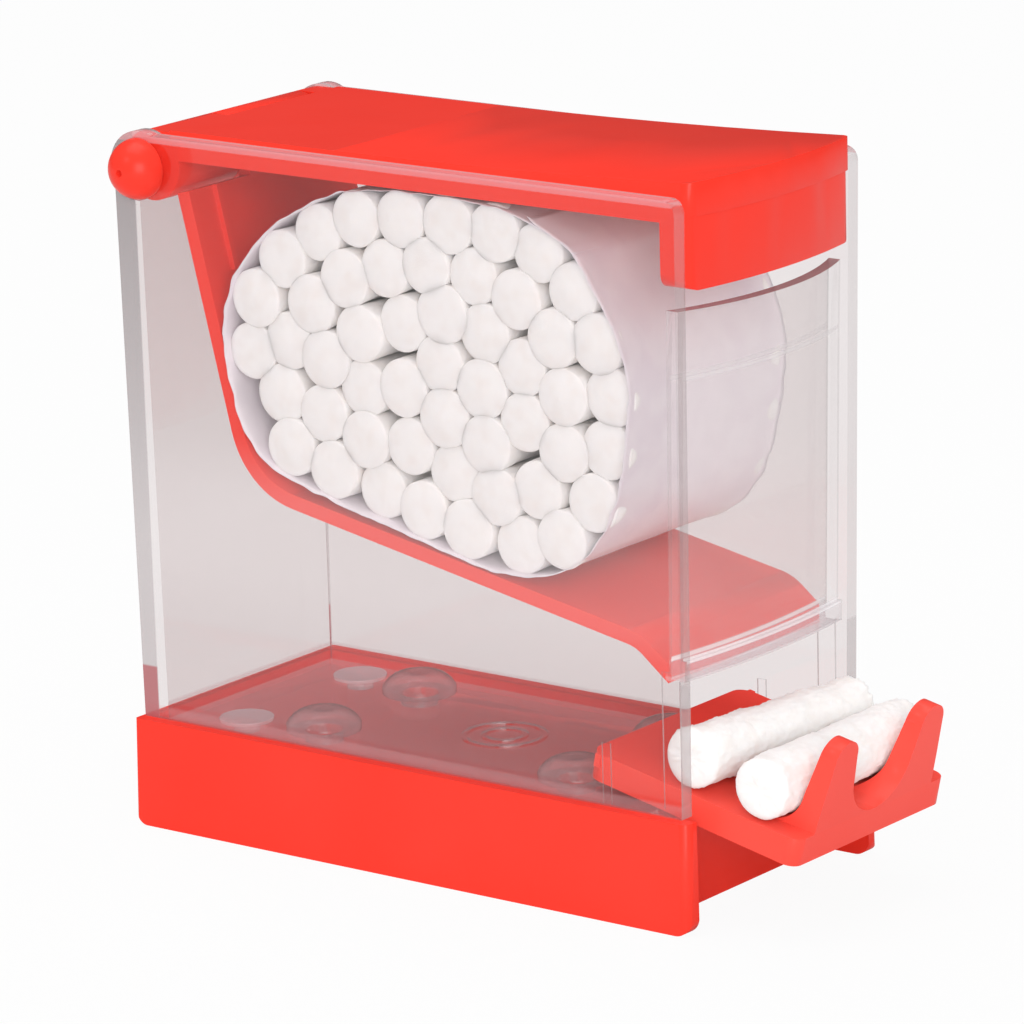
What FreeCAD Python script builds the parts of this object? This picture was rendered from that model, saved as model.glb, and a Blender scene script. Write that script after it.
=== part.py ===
"""Cotton roll dispenser: a clear hopper on a base, with a hinged lid, a hanging chute and a sliding tray.

Millimetres. +X is the front, where the tray comes out, and +Z is up. The origin lies on the base's
underside, on its centre line and "base_rear" in front of its rear edge. The tray stands fully out and
the lid is shut.
"""
import FreeCAD, Part
import math
import os
import re
import Sketcher

SIZES = {
    "base_rear": (52.2, "Rear edge of the base's foot behind the origin"),
    "base_front": (50.75, "Front of the base's cheeks before the origin"),
    "base_ledge": (2.1, "Side of the base's foot outside the side walls' foot"),
    "base_height": (16.7, "Base, foot to rim"),
    "base_draft": (0.77, "Base walls lean inward, degrees"),
    "base_wall": (2.2, "Base wall thickness"),
    "base_rear_round": (2.0, "Round along the rear foot of the base"),
    "base_cheek_round": (2.5, "Round at the front foot of each cheek"),
    "base_corner_round": (0.4, "Upright rear corners of the base"),
    "cheek_corner_round": (1.5, "Upright front corners of the cheeks"),
    "cheek_reach": (8.45, "Cheeks in front of the base's front panel"),
    "cheek_thickness": (2.6, "Thickness of each cheek"),
    "deck_top": (14.4, "Top of the deck that carries the housing"),
    "deck_thickness": (2.0, "Thickness of the deck"),
    "housing_rear": (51.5, "Rear face of the housing behind the origin"),
    "housing_front": (48.3, "Front of the side walls before the origin"),
    "roll_room": (0.6, "Gap between a cotton roll's end and a side wall, at the rim"),
    "wall_thickness": (2.5, "Side and rear walls of the housing"),
    "front_draft": (0.745, "Front and rear walls lean outward, degrees"),
    "side_draft": (0.447, "Side walls lean outward, degrees"),
    "side_wall_top": (106.6, "Top of the side walls"),
    "rear_wall_top": (96.0, "Top of the rear wall"),
    "wall_corner_round": (2.0, "Front top corner of each side wall"),
    "foot_inset_end": (1.15, "Housing foot inside the rear face"),
    "foot_inset_side": (0.8, "Housing foot inside the side faces"),
    "foot_fit": (0.15, "Gap between the housing foot and the base"),
    "floor_thickness": (1.6, "Clear floor over the deck"),
    "front_wall_setback": (1.7, "Front wall behind the side wall fronts"),
    "front_wall_thickness": (2.0, "Front wall of the housing"),
    "mouth_top": (36.4, "Lower edge of the front wall, over the tray"),
    "crease_height": (80.5, "Crease across the front wall"),
    "front_wall_top": (90.3, "Upper edge of the front wall"),
    "mouth_bow": (1.5, "Forward bow of the front wall at the mouth"),
    "crease_bow": (3.2, "Forward bow of the front wall at the crease"),
    "front_top_bow": (4.4, "Forward bow of the front wall at its top"),
    "bar_height": (3.0, "Bar along the mouth"),
    "bar_proud": (0.7, "Bar in front of the front wall"),
    "jamb_rear": (43.5, "Rear face of the mouth jambs"),
    "jamb_gap": (0.3, "Gap between the tray and each jamb and stop rib"),
    "stop_front": (34.1, "Front face of the tray stop ribs"),
    "stop_length": (1.5, "Tray stop rib, front to rear"),
    "stop_height": (25.2, "Top of the tray stop ribs"),
    "roundel_x": (0.0, "Middle of the moulded rings, along X"),
    "roundel_radius": (6.55, "Moulded ring on the floor"),
    "roundel_width": (0.9, "Width of each moulded ring"),
    "roundel_inner": (3.6, "Inner moulded ring"),
    "roundel_proud": (0.4, "Height of the moulded rings"),
    "hinge_x": (-47.7, "Hinge axis, along X"),
    "hinge_z": (101.6, "Hinge axis, height"),
    "ear_radius": (5.6, "Housing ear around the hinge"),
    "knuckle_radius": (5.3, "Hinge barrel"),
    "pin_radius": (2.0, "Hinge pin"),
    "pin_fit": (0.05, "Radial gap round the pin"),
    "dome_radius": (4.6, "Domed ends of the pin"),
    "dome_fit": (0.1, "Gap between a dome and its ear"),
    "dimple_radius": (0.55, "Dimple in each dome"),
    "dimple_depth": (0.9, "Depth of the dimple"),
    "pin_cap_depth": (2.4, "Pin end inside its cap"),
    "parting_right": (-5.0, "Parting between the lid and chute knuckles"),
    "parting_left": (15.5, "Second parting of the knuckles"),
    "knuckle_gap": (0.2, "Side gap between knuckles"),
    "knuckle_clearance": (0.6, "Gap between the lid plate and the chute's knuckle"),
    "lid_side_gap": (0.3, "Gap between the lid and each side wall"),
    "lid_rear": (-44.0, "Rear edge of the lid plate"),
    "lid_front": (50.1, "Front corners of the lid"),
    "lid_bow": (2.1, "Forward bow of the lid's front edge"),
    "lid_corner_round": (1.8, "Front corners of the lid, in plan"),
    "lid_top": (5.6, "Top of the lid above the hinge axis, at its rear"),
    "lid_rise": (1.7, "Rise of the lid top towards its front"),
    "lid_rise_start": (-13.0, "Where the lid top starts to rise"),
    "lid_thickness": (2.0, "Lid plate"),
    "lid_wall": (1.6, "Lid skirt, lip and apron"),
    "lip_bottom": (2.3, "Lower edge of the lid's front lip above the hinge axis"),
    "skirt_bottom": (1.1, "Lower edge of the lid's side skirts above the hinge axis"),
    "apron_step": (0.4, "Apron behind the lip"),
    "apron_drop": (8.3, "Lower edge of the lid's apron below the hinge axis"),
    "apron_corner_round": (2.0, "Lower corners of the apron, seen from the front"),
    "apron_return": (44.9, "Rear end of the apron's side returns"),
    "knuckle_bridge": (2.6, "Depth of the web between plate and knuckle"),
    "chute_ledge": (0.05, "Side of the chute and the tray beyond a cotton roll's end"),
    "chute_thickness": (2.25, "Chute sheet"),
    "chute_top_x": (-43.7, "Upper end of the chute's rear wall, along X"),
    "chute_top_z": (97.6, "Upper end of the chute's rear wall, height"),
    "chute_heel_x": (-32.8, "Corner of the chute below the pack, along X"),
    "chute_heel_z": (53.7, "Corner of the chute below the pack, height"),
    "chute_brow_x": (38.6, "Corner above the chute's lip, along X"),
    "chute_brow_z": (40.1, "Corner above the chute's lip, height"),
    "chute_lip_x": (44.2, "Front of the chute's lip, along X"),
    "chute_lip_z": (35.6, "Under face of the chute at its lip, height"),
    "chute_heel_round": (14.0, "Round at the chute's heel"),
    "chute_brow_round": (6.0, "Round at the chute's brow"),
    "chute_rib_y": (-13.0, "Stiffening rib on the chute's rear wall"),
    "chute_rib_width": (1.2, "Width of that rib"),
    "chute_rib_length": (13.0, "Length of that rib"),
    "chute_rib_proud": (0.8, "Height of that rib"),
    "tray_tilt": (12.3, "Slope of the tray, degrees"),
    "tray_front_x": (66.2, "Front edge of the tray plate, along X"),
    "tray_front_z": (15.7, "Front edge of the tray plate, height"),
    "tray_length": (37.0, "Tray plate along its slope"),
    "tray_depth": (4.2, "Tray skirt"),
    "tray_plate": (2.0, "Tray plate thickness"),
    "tray_wall": (1.8, "Tray skirt thickness"),
    "tray_front_round": (2.0, "Front corners of the tray, in plan"),
    "tray_rear_round": (2.5, "Rear corners of the tray, in plan"),
    "tray_ear_front": (2.2, "Front of the stop ears from the tray's rear edge"),
    "tray_ear_reach": (0.35, "Stop ears beyond the tray's sides"),
    "prong_centre": (10.95, "Middle of each prong from the tray's centre line"),
    "prong_tip_half": (2.75, "Half width of a prong's tip"),
    "prong_waist_half": (3.9, "Half width of a prong above the saddle"),
    "prong_waist": (5.2, "Height of that waist"),
    "prong_root": (15.1, "Outer foot of each prong from the centre line"),
    "prong_height": (13.7, "Prongs above the tray plate"),
    "prong_lean": (0.9, "Prong tips in front of the tray's edge"),
    "prong_thickness": (3.1, "Prong above its foot"),
    "prong_tip_thickness": (2.5, "Prong at its tip"),
    "roll_length": (38.0, "Cotton roll"),
    "roll_radius": (4.5, "Loose cotton roll"),
    "roll_pitch": (9.2, "Distance between the two rolls on the tray"),
    "roll_seat": (0.3, "Gap under a roll"),
    "roll_end_round": (1.2, "Round at the ends of a loose roll"),
    "roll_turn": (5.0, "Turn of the rear roll, whose right end lies further back, degrees"),
    "ramp_gap": (0.45, "Gap between the front roll and the prong ramp"),
    "cup_x": (23.6, "Suction cups before and behind their middle"),
    "cup_middle": (-1.6, "Middle of the suction cups, along X"),
    "cup_inset": (12.5, "Middle of each suction cup inside the side of the base's foot"),
    "cup_head_radius": (5.7, "Mushroom head of a suction cup"),
    "cup_head_height": (3.3, "Mushroom head above the floor"),
    "cup_crown_radius": (1.2, "Flat crown of the head, and flat top of the hollow below"),
    "cup_neck_radius": (2.8, "Neck of a suction cup"),
    "cup_neck_fit": (0.2, "Gap round the neck of a suction cup"),
    "cup_shoulder_radius": (4.8, "Shoulder under the deck"),
    "cup_shoulder_height": (10.0, "Lower edge of the shoulder"),
    "cup_lip_radius": (9.2, "Lip of a suction cup"),
    "cup_hollow_radius": (8.2, "Hollow under a suction cup"),
    "cup_hollow_height": (2.0, "Height of that hollow"),
    "cup_seat": (0.05, "Gap above and below the clamped floor and deck"),
    "plug_x": (-38.5, "Floor plugs, along X"),
    "plug_inset": (10.4, "Middle of each floor plug inside the side of the base's foot"),
    "plug_head_radius": (4.15, "Head of a floor plug"),
    "plug_head_height": (0.5, "Head of a floor plug above the floor"),
    "plug_stem_radius": (2.0, "Stem of a floor plug"),
    "plug_fit": (0.05, "Gap round the stem of a floor plug"),
    "plug_tail": (0.6, "Stem of a floor plug below the deck"),
    "wrapper_overhang": (0.25, "Wrapper beyond the roll ends"),
    "wrapper_thickness": (0.35, "Wrapper film"),
    "pack_seat": (0.35, "Gap between the pack and the chute"),
    "pack_roll_radius": (4.0, "Packed roll, pressed by its neighbours"),
    "pack_pitch": (8.25, "Distance between packed rolls"),
    "pack_inset": (0.25, "Gap between the packed rolls and the wrapper"),
    "overcut": (1.0, "How far a cutting solid passes the face it cuts"),
}

# The pack's end, seen from the right, as distances along the chute's floor from its heel and above it.
PACK_OUTLINE = [
    (4.5, 3.0),
    (24.0, 0.9),
    (46.0, 0.9),
    (59.5, 7.5),
    (66.0, 19.0),
    (65.5, 34.0),
    (57.5, 46.0),
    (47.5, 52.0),
    (36.0, 52.9),
    (12.0, 47.7),
    (-1.5, 37.0),
    (-6.0, 23.0),
    (-2.8, 11.0),
]

doc = FreeCAD.newDocument("CottonRollDispenser")
sheet = doc.addObject("Spreadsheet::Sheet", "Sizes")
for row, (alias, (number, meaning)) in enumerate(SIZES.items(), start=1):
    sheet.set(f"A{row}", meaning)
    sheet.set(f"B{row}", str(number))
    sheet.setAlias(f"B{row}", alias)
doc.recompute()

pieces = []
ALONG_Y = FreeCAD.Rotation(FreeCAD.Vector(1, 0, 0), -90)
UPRIGHT = FreeCAD.Rotation(FreeCAD.Vector(1, 0, 0), 90)
FACING_X = FreeCAD.Rotation(FreeCAD.Vector(1, 1, 1), 120)


def linked(rule):
    """Return a rule with the sheet's name before each size it mentions."""
    return re.sub(r"[a-z_]\w*", lambda word: "Sizes." + word[0] if word[0] in SIZES else word[0], str(rule))


def amount(rule):
    """Return the value that a rule has with the sheet's sizes."""
    return float(sheet.evalExpression(linked(rule)))


def bind(item, **rules):
    """Bind an object's properties to rules. Two underscores in a name stand for a dot."""
    for name, rule in rules.items():
        item.setExpression(name.replace("__", "."), linked(rule))
    return item


def place(item, x="0", y="0", z="0", turn=None):
    """Give an object its turn and bind its position to rules."""
    if turn is not None:
        item.Placement = FreeCAD.Placement(FreeCAD.Vector(), turn)
    return bind(item, Placement__Base__x=x, Placement__Base__y=y, Placement__Base__z=z)


def box(name, x, y, z):
    """Make a box between two rules on each axis."""
    item = doc.addObject("Part::Box", name)
    bind(item, Length=f"({x[1]}) - ({x[0]})", Width=f"({y[1]}) - ({y[0]})", Height=f"({z[1]}) - ({z[0]})")
    return place(item, x[0], y[0], z[0])


def leaning_box(name, x, half_width, z, lean_x, lean_y):
    """Make a box whose end and side walls lean outward by two angles as they rise."""
    item = doc.addObject("Part::Wedge", name)
    rise = f"(({z[1]}) - ({z[0]}))"
    out_x = f"{rise} * tan({lean_x})"
    out_y = f"{rise} * tan({lean_y})"
    bind(item, Xmin=x[0], Xmax=x[1], X2min=f"({x[0]}) - {out_x}", X2max=f"({x[1]}) + {out_x}")
    bind(item, Zmin=f"-({half_width})", Zmax=half_width)
    bind(item, Z2min=f"-({half_width}) - {out_y}", Z2max=f"({half_width}) + {out_y}")
    bind(item, Ymin="0", Ymax=rise)
    return place(item, "0", "0", z[0], UPRIGHT)


def upright_cylinder(name, x, y, z, radius):
    """Make an upright cylinder between two heights."""
    item = doc.addObject("Part::Cylinder", name)
    bind(item, Radius=radius, Height=f"({z[1]}) - ({z[0]})")
    return place(item, x, y, z[0])


def cross_cylinder(name, x, y, z, radius):
    """Make a cylinder along Y between two rules."""
    item = doc.addObject("Part::Cylinder", name)
    bind(item, Radius=radius, Height=f"({y[1]}) - ({y[0]})")
    return place(item, x, y[0], z, ALONG_Y)


def fuse(name, *items):
    """Join solids into one."""
    item = doc.addObject("Part::MultiFuse", name)
    item.Shapes = list(items)
    return item


def cut(name, base, *tools):
    """Cut one or more solids from a base."""
    tool = tools[0] if len(tools) == 1 else fuse(name + "Tools", *tools)
    item = doc.addObject("Part::Cut", name)
    item.Base = base
    item.Tool = tool
    return item


def common(name, first, second):
    """Keep what two solids share."""
    item = doc.addObject("Part::Common", name)
    item.Base = first
    item.Tool = second
    return item


def rounded(name, base, radius, *spots):
    """Round the edges that pass through the given spots."""
    doc.recompute()
    edges = []
    for spot in spots:
        vertex = Part.Vertex(FreeCAD.Vector(*[amount(rule) for rule in spot]))
        found = [i for i, edge in enumerate(base.Shape.Edges, start=1) if edge.distToShape(vertex)[0] < 1e-4]
        if not found:
            raise ValueError(f"{name} has no edge at {spot}")
        edges += found
    item = doc.addObject("Part::Fillet", name)
    item.Base = base
    item.Edges = [(edge, amount(radius), amount(radius)) for edge in sorted(set(edges))]
    return item


def pin_arc_centre(sketch, number, corner, after):
    """Bind one coordinate of an arc's centre, so that the arc keeps its sag between its pinned ends."""
    (x0, y0, sag), (x1, y1) = corner, after[:2]
    wide = f"(({x1}) - ({x0}))"
    tall = f"(({y1}) - ({y0}))"
    chord = f"sqrt({wide}^2 + {tall}^2)"
    shift = f"(({sag}) / (2 * {chord}) - {chord} / (8 * ({sag})))"
    if abs(amount(tall)) >= abs(amount(wide)):
        kind, rule = "DistanceX", f"(({x0}) + ({x1})) / 2 + {tall} * {shift}"
    else:
        kind, rule = "DistanceY", f"(({y0}) + ({y1})) / 2 - {wide} * {shift}"
    index = sketch.addConstraint(Sketcher.Constraint(kind, -1, 1, number, 3, amount(rule)))
    sketch.setExpression(f"Constraints[{index}]", linked(rule))


def outline(name, corners, turn=None, x="0", y="0", z="0", sketch=None):
    """Draw a closed outline whose corners are bound to rules.

    A corner is (across, up) or (across, up, sag). The sag bows the side that follows it, outward on an
    outline drawn anticlockwise.
    """
    if sketch is None:
        sketch = place(doc.addObject("Sketcher::SketchObject", name), x, y, z, turn)
    points = [FreeCAD.Vector(amount(corner[0]), amount(corner[1]), 0) for corner in corners]
    ends = []
    for number, corner in enumerate(corners):
        start = points[number]
        end = points[(number + 1) % len(points)]
        if len(corner) == 2:
            sketch.addGeometry(Part.LineSegment(start, end), False)
            ends.append((1, 2))
            continue
        sag = amount(corner[2])
        side = (end - start).normalize().cross(FreeCAD.Vector(0, 0, 1))
        middle = (start + end) * 0.5 + side * sag
        if sag > 0:
            sketch.addGeometry(Part.Arc(start, middle, end), False)
            ends.append((1, 2))
        else:
            sketch.addGeometry(Part.Arc(end, middle, start), False)
            ends.append((2, 1))
    for number, corner in enumerate(corners):
        following = (number + 1) % len(corners)
        sketch.addConstraint(
            Sketcher.Constraint("Coincident", number, ends[number][1], following, ends[following][0])
        )
        for kind, rule in (("DistanceX", corner[0]), ("DistanceY", corner[1])):
            end = ends[number][0]
            index = sketch.addConstraint(Sketcher.Constraint(kind, -1, 1, number, end, amount(rule)))
            sketch.setExpression(f"Constraints[{index}]", linked(rule))
        if len(corner) == 3:
            pin_arc_centre(sketch, number, corner, corners[following])
    return sketch


def extruded(name, sketch, length, symmetric=False):
    """Extrude a sketch along its normal."""
    item = doc.addObject("Part::Extrusion", name)
    item.Base = sketch
    item.DirMode = "Normal"
    item.Solid = True
    item.Symmetric = symmetric
    return bind(item, LengthFwd=length)


def finish(item, label):
    """Name a finished piece and list it for export."""
    item.Label = label
    pieces.append(item)
    return item


def inner_half(height):
    """Half of the clear width between the side walls at a height."""
    return f"({HOUSING_HALF} - wall_thickness + (({height}) - base_height) * tan(side_draft))"


def outer_half(height):
    """Distance of a side wall's outer face from the centre line at a height."""
    return f"({HOUSING_HALF} + (({height}) - base_height) * tan(side_draft))"


# The sag of a quarter round, as a share of its radius.
ROUND_SAG = "(1 - sqrt(0.5))"

# Places that several pieces share.
HOUSING_HALF = "(roll_length / 2 + roll_room + wall_thickness)"
BASE_HALF = f"({HOUSING_HALF} + base_ledge)"
CHUTE_HALF = "(roll_length / 2 + chute_ledge)"
JAMB_FACE = f"({CHUTE_HALF} + jamb_gap)"
CUP_Y = f"({BASE_HALF} - cup_inset)"
PLUG_Y = f"({BASE_HALF} - plug_inset)"
PANEL_X = "(base_front - cheek_reach)"
FLOOR_TOP = "(deck_top + floor_thickness)"
FOOT_REAR = "(-housing_rear + foot_inset_end)"
FOOT_HALF = f"({HOUSING_HALF} - foot_inset_side)"
EAR_OUTER = outer_half("hinge_z")
LID_HALF = f"({inner_half('hinge_z')} - lid_side_gap)"
LID_TOP = "(hinge_z + lid_top)"
LIP_BOTTOM = "(hinge_z + lip_bottom)"
APRON_BOTTOM = "(hinge_z - apron_drop)"
CUP_SPOTS = {
    "rear_right": ("(cup_middle - cup_x)", f"-{CUP_Y}"),
    "rear_left": ("(cup_middle - cup_x)", CUP_Y),
    "front_right": ("(cup_middle + cup_x)", f"-{CUP_Y}"),
    "front_left": ("(cup_middle + cup_x)", CUP_Y),
}
PLUG_SPOTS = {"right": f"-{PLUG_Y}", "left": PLUG_Y}
ACROSS = (f"-2 * {BASE_HALF}", f"2 * {BASE_HALF}")
FAR_REAR = f"(-base_rear - 2 * {BASE_HALF})"
FAR_FRONT = f"(base_front + 2 * {BASE_HALF})"
THROUGH_Z = ("(deck_top - deck_thickness - overcut)", f"({FLOOR_TOP} + overcut)")


def fastener_holes(name):
    """Holes through the deck and the floor for the suction cups and the floor plugs."""
    holes = []
    for spot, (x, y) in CUP_SPOTS.items():
        radius = "cup_neck_radius + cup_neck_fit"
        holes.append(upright_cylinder(f"{name}Cup_{spot}", x, y, THROUGH_Z, radius))
    for side, y in PLUG_SPOTS.items():
        radius = "plug_stem_radius + plug_fit"
        holes.append(upright_cylinder(f"{name}Plug_{side}", "plug_x", y, THROUGH_Z, radius))
    return holes


def make_base():
    """A shell open below, with a recessed deck and two front cheeks."""
    block = leaning_box(
        "BaseBlock", ("-base_rear", "base_front"), BASE_HALF, ("0", "base_height"),
        "-base_draft", "-base_draft",
    )
    lean = "base_height / 2 * tan(base_draft)"
    side = f"({BASE_HALF} - {lean})"
    for name, radius, x in (
        ("BaseFrontCorners", "cheek_corner_round", f"base_front - {lean}"),
        ("BaseRearCorners", "base_corner_round", f"-base_rear + {lean}"),
    ):
        block = rounded(name, block, radius, *[(x, f"{sign}{side}", "base_height / 2") for sign in ("-", "")])
    profile = [
        ("-base_rear + base_rear_round", "0"),
        ("base_front - base_cheek_round", "0", f"base_cheek_round * {ROUND_SAG}"),
        ("base_front", "base_cheek_round"),
        ("base_front", "base_height"),
        ("-base_rear", "base_height"),
        ("-base_rear", "base_rear_round", f"base_rear_round * {ROUND_SAG}"),
    ]
    side_view = outline("BaseSide", profile, UPRIGHT)
    profile = extruded("BaseProfile", side_view, f"4 * {BASE_HALF}", symmetric=True)
    block = common("BaseRounded", block, profile)
    hollow = box(
        "BaseHollow",
        ("-base_rear + base_wall", f"{PANEL_X} - base_wall"),
        (f"-{BASE_HALF} + base_wall", f"{BASE_HALF} - base_wall"),
        ("-overcut", "deck_top - deck_thickness"),
    )
    recess = box(
        "BaseRecess",
        (f"{FOOT_REAR} - foot_fit", FAR_FRONT),
        (f"-{FOOT_HALF} - foot_fit", f"{FOOT_HALF} + foot_fit"),
        ("deck_top", "base_height + overcut"),
    )
    notch = box(
        "BaseNotch",
        (PANEL_X, FAR_FRONT),
        (f"-{BASE_HALF} + cheek_thickness", f"{BASE_HALF} - cheek_thickness"),
        ("-overcut", "base_height + overcut"),
    )
    shell = cut("BaseShell", block, hollow, recess, notch)
    return finish(cut("BasePierced", shell, *fastener_holes("BaseHole")), "base_shell")


def front_wall_section(name, height, bow, proud="0"):
    """One level outline of the bowed front wall."""
    front = f"housing_front - front_wall_setback + (({height}) - base_height) * tan(front_draft)"
    half = f"({inner_half(height)} + wall_thickness / 3)"
    corners = [
        (f"{front} - front_wall_thickness", f"-{half}"),
        (f"{front} + {proud}", f"-{half}", bow),
        (f"{front} + {proud}", half),
        (f"{front} - front_wall_thickness", half, f"-({bow})"),
    ]
    return outline(name, corners, z=height)


def lofted(name, *sections):
    """Join level outlines by straight walls."""
    item = doc.addObject("Part::Loft", name)
    item.Sections = list(sections)
    item.Solid = True
    item.Ruled = True
    return item


def make_housing():
    """A clear open hopper: floor, three walls, a bowed front wall over the tray's mouth, and hinge ears."""
    outer = leaning_box(
        "HousingOuter", ("-housing_rear", "housing_front"), HOUSING_HALF,
        ("base_height", "side_wall_top"), "front_draft", "side_draft",
    )
    foot_z = ("deck_top", "base_height + overcut")
    foot = box("HousingFoot", (FOOT_REAR, PANEL_X), (f"-{FOOT_HALF}", FOOT_HALF), foot_z)
    inner = leaning_box(
        "HousingInner", ("-housing_rear + wall_thickness", FAR_FRONT), inner_half(FLOOR_TOP),
        (FLOOR_TOP, "side_wall_top + overcut"), "front_draft", "side_draft",
    )
    rear_opening = leaning_box(
        "HousingRearOpening", (FAR_REAR, "hinge_x"), inner_half("rear_wall_top"),
        ("rear_wall_top", "side_wall_top + overcut"), "0", "side_draft",
    )
    rear_corner = box(
        "HousingRearCorner", (FAR_REAR, "hinge_x"), ACROSS, ("hinge_z", "side_wall_top + overcut")
    )
    walls = cut("HousingWalls", fuse("HousingBlock", outer, foot), inner, rear_opening, rear_corner)
    top_front = "housing_front + (side_wall_top - base_height) * tan(front_draft)"
    walls = rounded(
        "HousingTopCorners", walls, "wall_corner_round",
        *[(top_front, f"{sign} * ({outer_half('side_wall_top')} - wall_thickness / 2)", "side_wall_top")
          for sign in ("-1", "1")],
    )
    lower = front_wall_section("FrontWallMouth", "mouth_top", "mouth_bow")
    crease = front_wall_section("FrontWallCrease", "crease_height", "crease_bow")
    upper = front_wall_section("FrontWallTop", "front_wall_top", "front_top_bow")
    bar_low = front_wall_section("BarBottom", "mouth_top", "mouth_bow", "bar_proud")
    bar_high = front_wall_section("BarTop", "mouth_top + bar_height", "mouth_bow", "bar_proud")
    added = [lofted("FrontWall", lower, crease, upper), lofted("MouthBar", bar_low, bar_high)]
    jamb_front = "housing_front - front_wall_setback"
    for side, sign in (("right", -1), ("left", 1)):
        wall_side = [f"{sign} * {JAMB_FACE}", f"{sign} * ({inner_half(FLOOR_TOP)} + wall_thickness / 3)"]
        across = sorted(wall_side, key=amount)
        jamb_z = (f"{FLOOR_TOP} + overcut", "mouth_top + overcut")
        added.append(box(f"Jamb_{side}", ("jamb_rear", jamb_front), across, jamb_z))
        stop_x = ("stop_front - stop_length", "stop_front")
        added.append(box(f"StopRib_{side}", stop_x, across, (FLOOR_TOP, "stop_height")))
        ear = sorted([f"{sign} * {inner_half('hinge_z')}", f"{sign} * {EAR_OUTER}"], key=amount)
        added.append(cross_cylinder(f"Ear_{side}", "hinge_x", ear, "hinge_z", "ear_radius"))
    ring_z = (f"{FLOOR_TOP} - floor_thickness / 2", f"{FLOOR_TOP} + roundel_proud")
    for name, radius in (("Roundel", "roundel_radius"), ("RoundelInner", "roundel_inner")):
        rim = upright_cylinder(name + "Rim", "roundel_x", "0", ring_z, radius)
        eye_z = (ring_z[0], f"{ring_z[1]} + overcut")
        eye = upright_cylinder(name + "Eye", "roundel_x", "0", eye_z, f"{radius} - roundel_width")
        added.append(cut(name, rim, eye))
    body = fuse("HousingBody", walls, *added)
    bore = cross_cylinder("EarBore", "hinge_x", ACROSS, "hinge_z", "pin_radius + pin_fit")
    return finish(cut("HousingPierced", body, bore, *fastener_holes("FloorHole")), "clear_housing")


def lid_slab(name, front, half, z, height):
    """A level slab with the lid's bowed front edge and rounded front corners."""
    corners = [("lid_rear", f"-{half}"), (front, f"-{half}", "lid_bow"), (front, half), ("lid_rear", half)]
    slab = extruded(name, outline(name + "Plan", corners, z=z), height)
    middle = f"({z}) + ({height}) / 2"
    spots = [(front, f"{sign}{half}", middle) for sign in ("-", "")]
    return rounded(name + "Round", slab, "lid_corner_round", *spots)


def under_lid_surface(name, bottom, drop):
    """Everything between a level and the lid's gently rising top, lowered by a drop."""
    reach = "(lid_front + lid_bow + overcut)"
    corners = [
        ("lid_rear - overcut", bottom),
        (reach, bottom),
        (reach, f"{LID_TOP} + lid_rise - {drop}", "-lid_rise / 4"),
        ("lid_rise_start", f"{LID_TOP} - {drop}"),
        ("lid_rear - overcut", f"{LID_TOP} - {drop}"),
    ]
    return extruded(name, outline(name + "Side", corners, UPRIGHT), f"4 * {BASE_HALF}", symmetric=True)


def apron_face(name, low):
    """The lid's outline seen from the front, with rounded lower corners, as long as the lid."""
    round_sag = f"apron_corner_round * {ROUND_SAG}"
    corners = [
        (f"-{LID_HALF} + apron_corner_round", low),
        (f"{LID_HALF} - apron_corner_round", low, round_sag),
        (LID_HALF, f"{low} + apron_corner_round"),
        (LID_HALF, f"{LID_TOP} + 2 * lid_rise"),
        (f"-{LID_HALF}", f"{LID_TOP} + 2 * lid_rise"),
        (f"-{LID_HALF}", f"{low} + apron_corner_round", round_sag),
    ]
    return extruded(name, outline(name + "Outline", corners, FACING_X), "4 * lid_front", symmetric=True)


def make_lid():
    """A plate with a front lip, a set-back apron, side skirts and two hinge knuckles."""
    low = f"({APRON_BOTTOM} - overcut)"
    lip_height = f"{LID_TOP} + 2 * lid_rise - {LIP_BOTTOM}"
    apron_front = "(lid_front - apron_step)"
    inner_half_width = f"({LID_HALF} - lid_wall)"
    upper = lid_slab("LidUpper", "lid_front", LID_HALF, LIP_BOTTOM, lip_height)
    lower = lid_slab("LidApron", apron_front, LID_HALF, APRON_BOTTOM, f"{LIP_BOTTOM} - {APRON_BOTTOM}")
    block = common("LidBlock", fuse("LidSlabs", upper, lower), under_lid_surface("LidTop", low, "0"))
    block = common("LidFaced", block, apron_face("LidFace", APRON_BOTTOM))
    inside_front = "(lid_front - lid_wall)"
    upper_inside = lid_slab("LidInside", inside_front, inner_half_width, LIP_BOTTOM, lip_height)
    upper_inside = common("LidUnderside", upper_inside, under_lid_surface("LidUnder", low, "lid_thickness"))
    lower_inside = lid_slab(
        "ApronInside", f"({apron_front} - lid_wall)", inner_half_width, low, f"{LIP_BOTTOM} - {low}"
    )
    skirt_z = (low, "hinge_z + skirt_bottom")
    below_skirts = box("BelowSkirts", (FAR_REAR, "apron_return"), ACROSS, skirt_z)
    chute_span = ("parting_right - knuckle_gap", "parting_left + knuckle_gap")
    clearance = cross_cylinder(
        "KnuckleClearance", "hinge_x", chute_span, "hinge_z", "knuckle_radius + knuckle_clearance"
    )
    plate = cut("LidPlate", block, upper_inside, lower_inside, below_skirts, clearance)
    spans = {
        "right": (f"-{LID_HALF}", "parting_right - knuckle_gap"),
        "left": ("parting_left + knuckle_gap", LID_HALF),
    }
    knuckles = []
    for side, span in spans.items():
        knuckles.append(cross_cylinder(f"LidKnuckle_{side}", "hinge_x", span, "hinge_z", "knuckle_radius"))
        knuckles.append(box(
            f"LidWeb_{side}", ("hinge_x", "lid_rear + overcut"), span,
            (f"{LID_TOP} - knuckle_bridge", "hinge_z + knuckle_radius"),
        ))
    bore = cross_cylinder("LidBore", "hinge_x", ACROSS, "hinge_z", "pin_radius + pin_fit")
    return finish(cut("LidBored", fuse("LidWithKnuckles", plate, *knuckles), bore), "lid")


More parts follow.
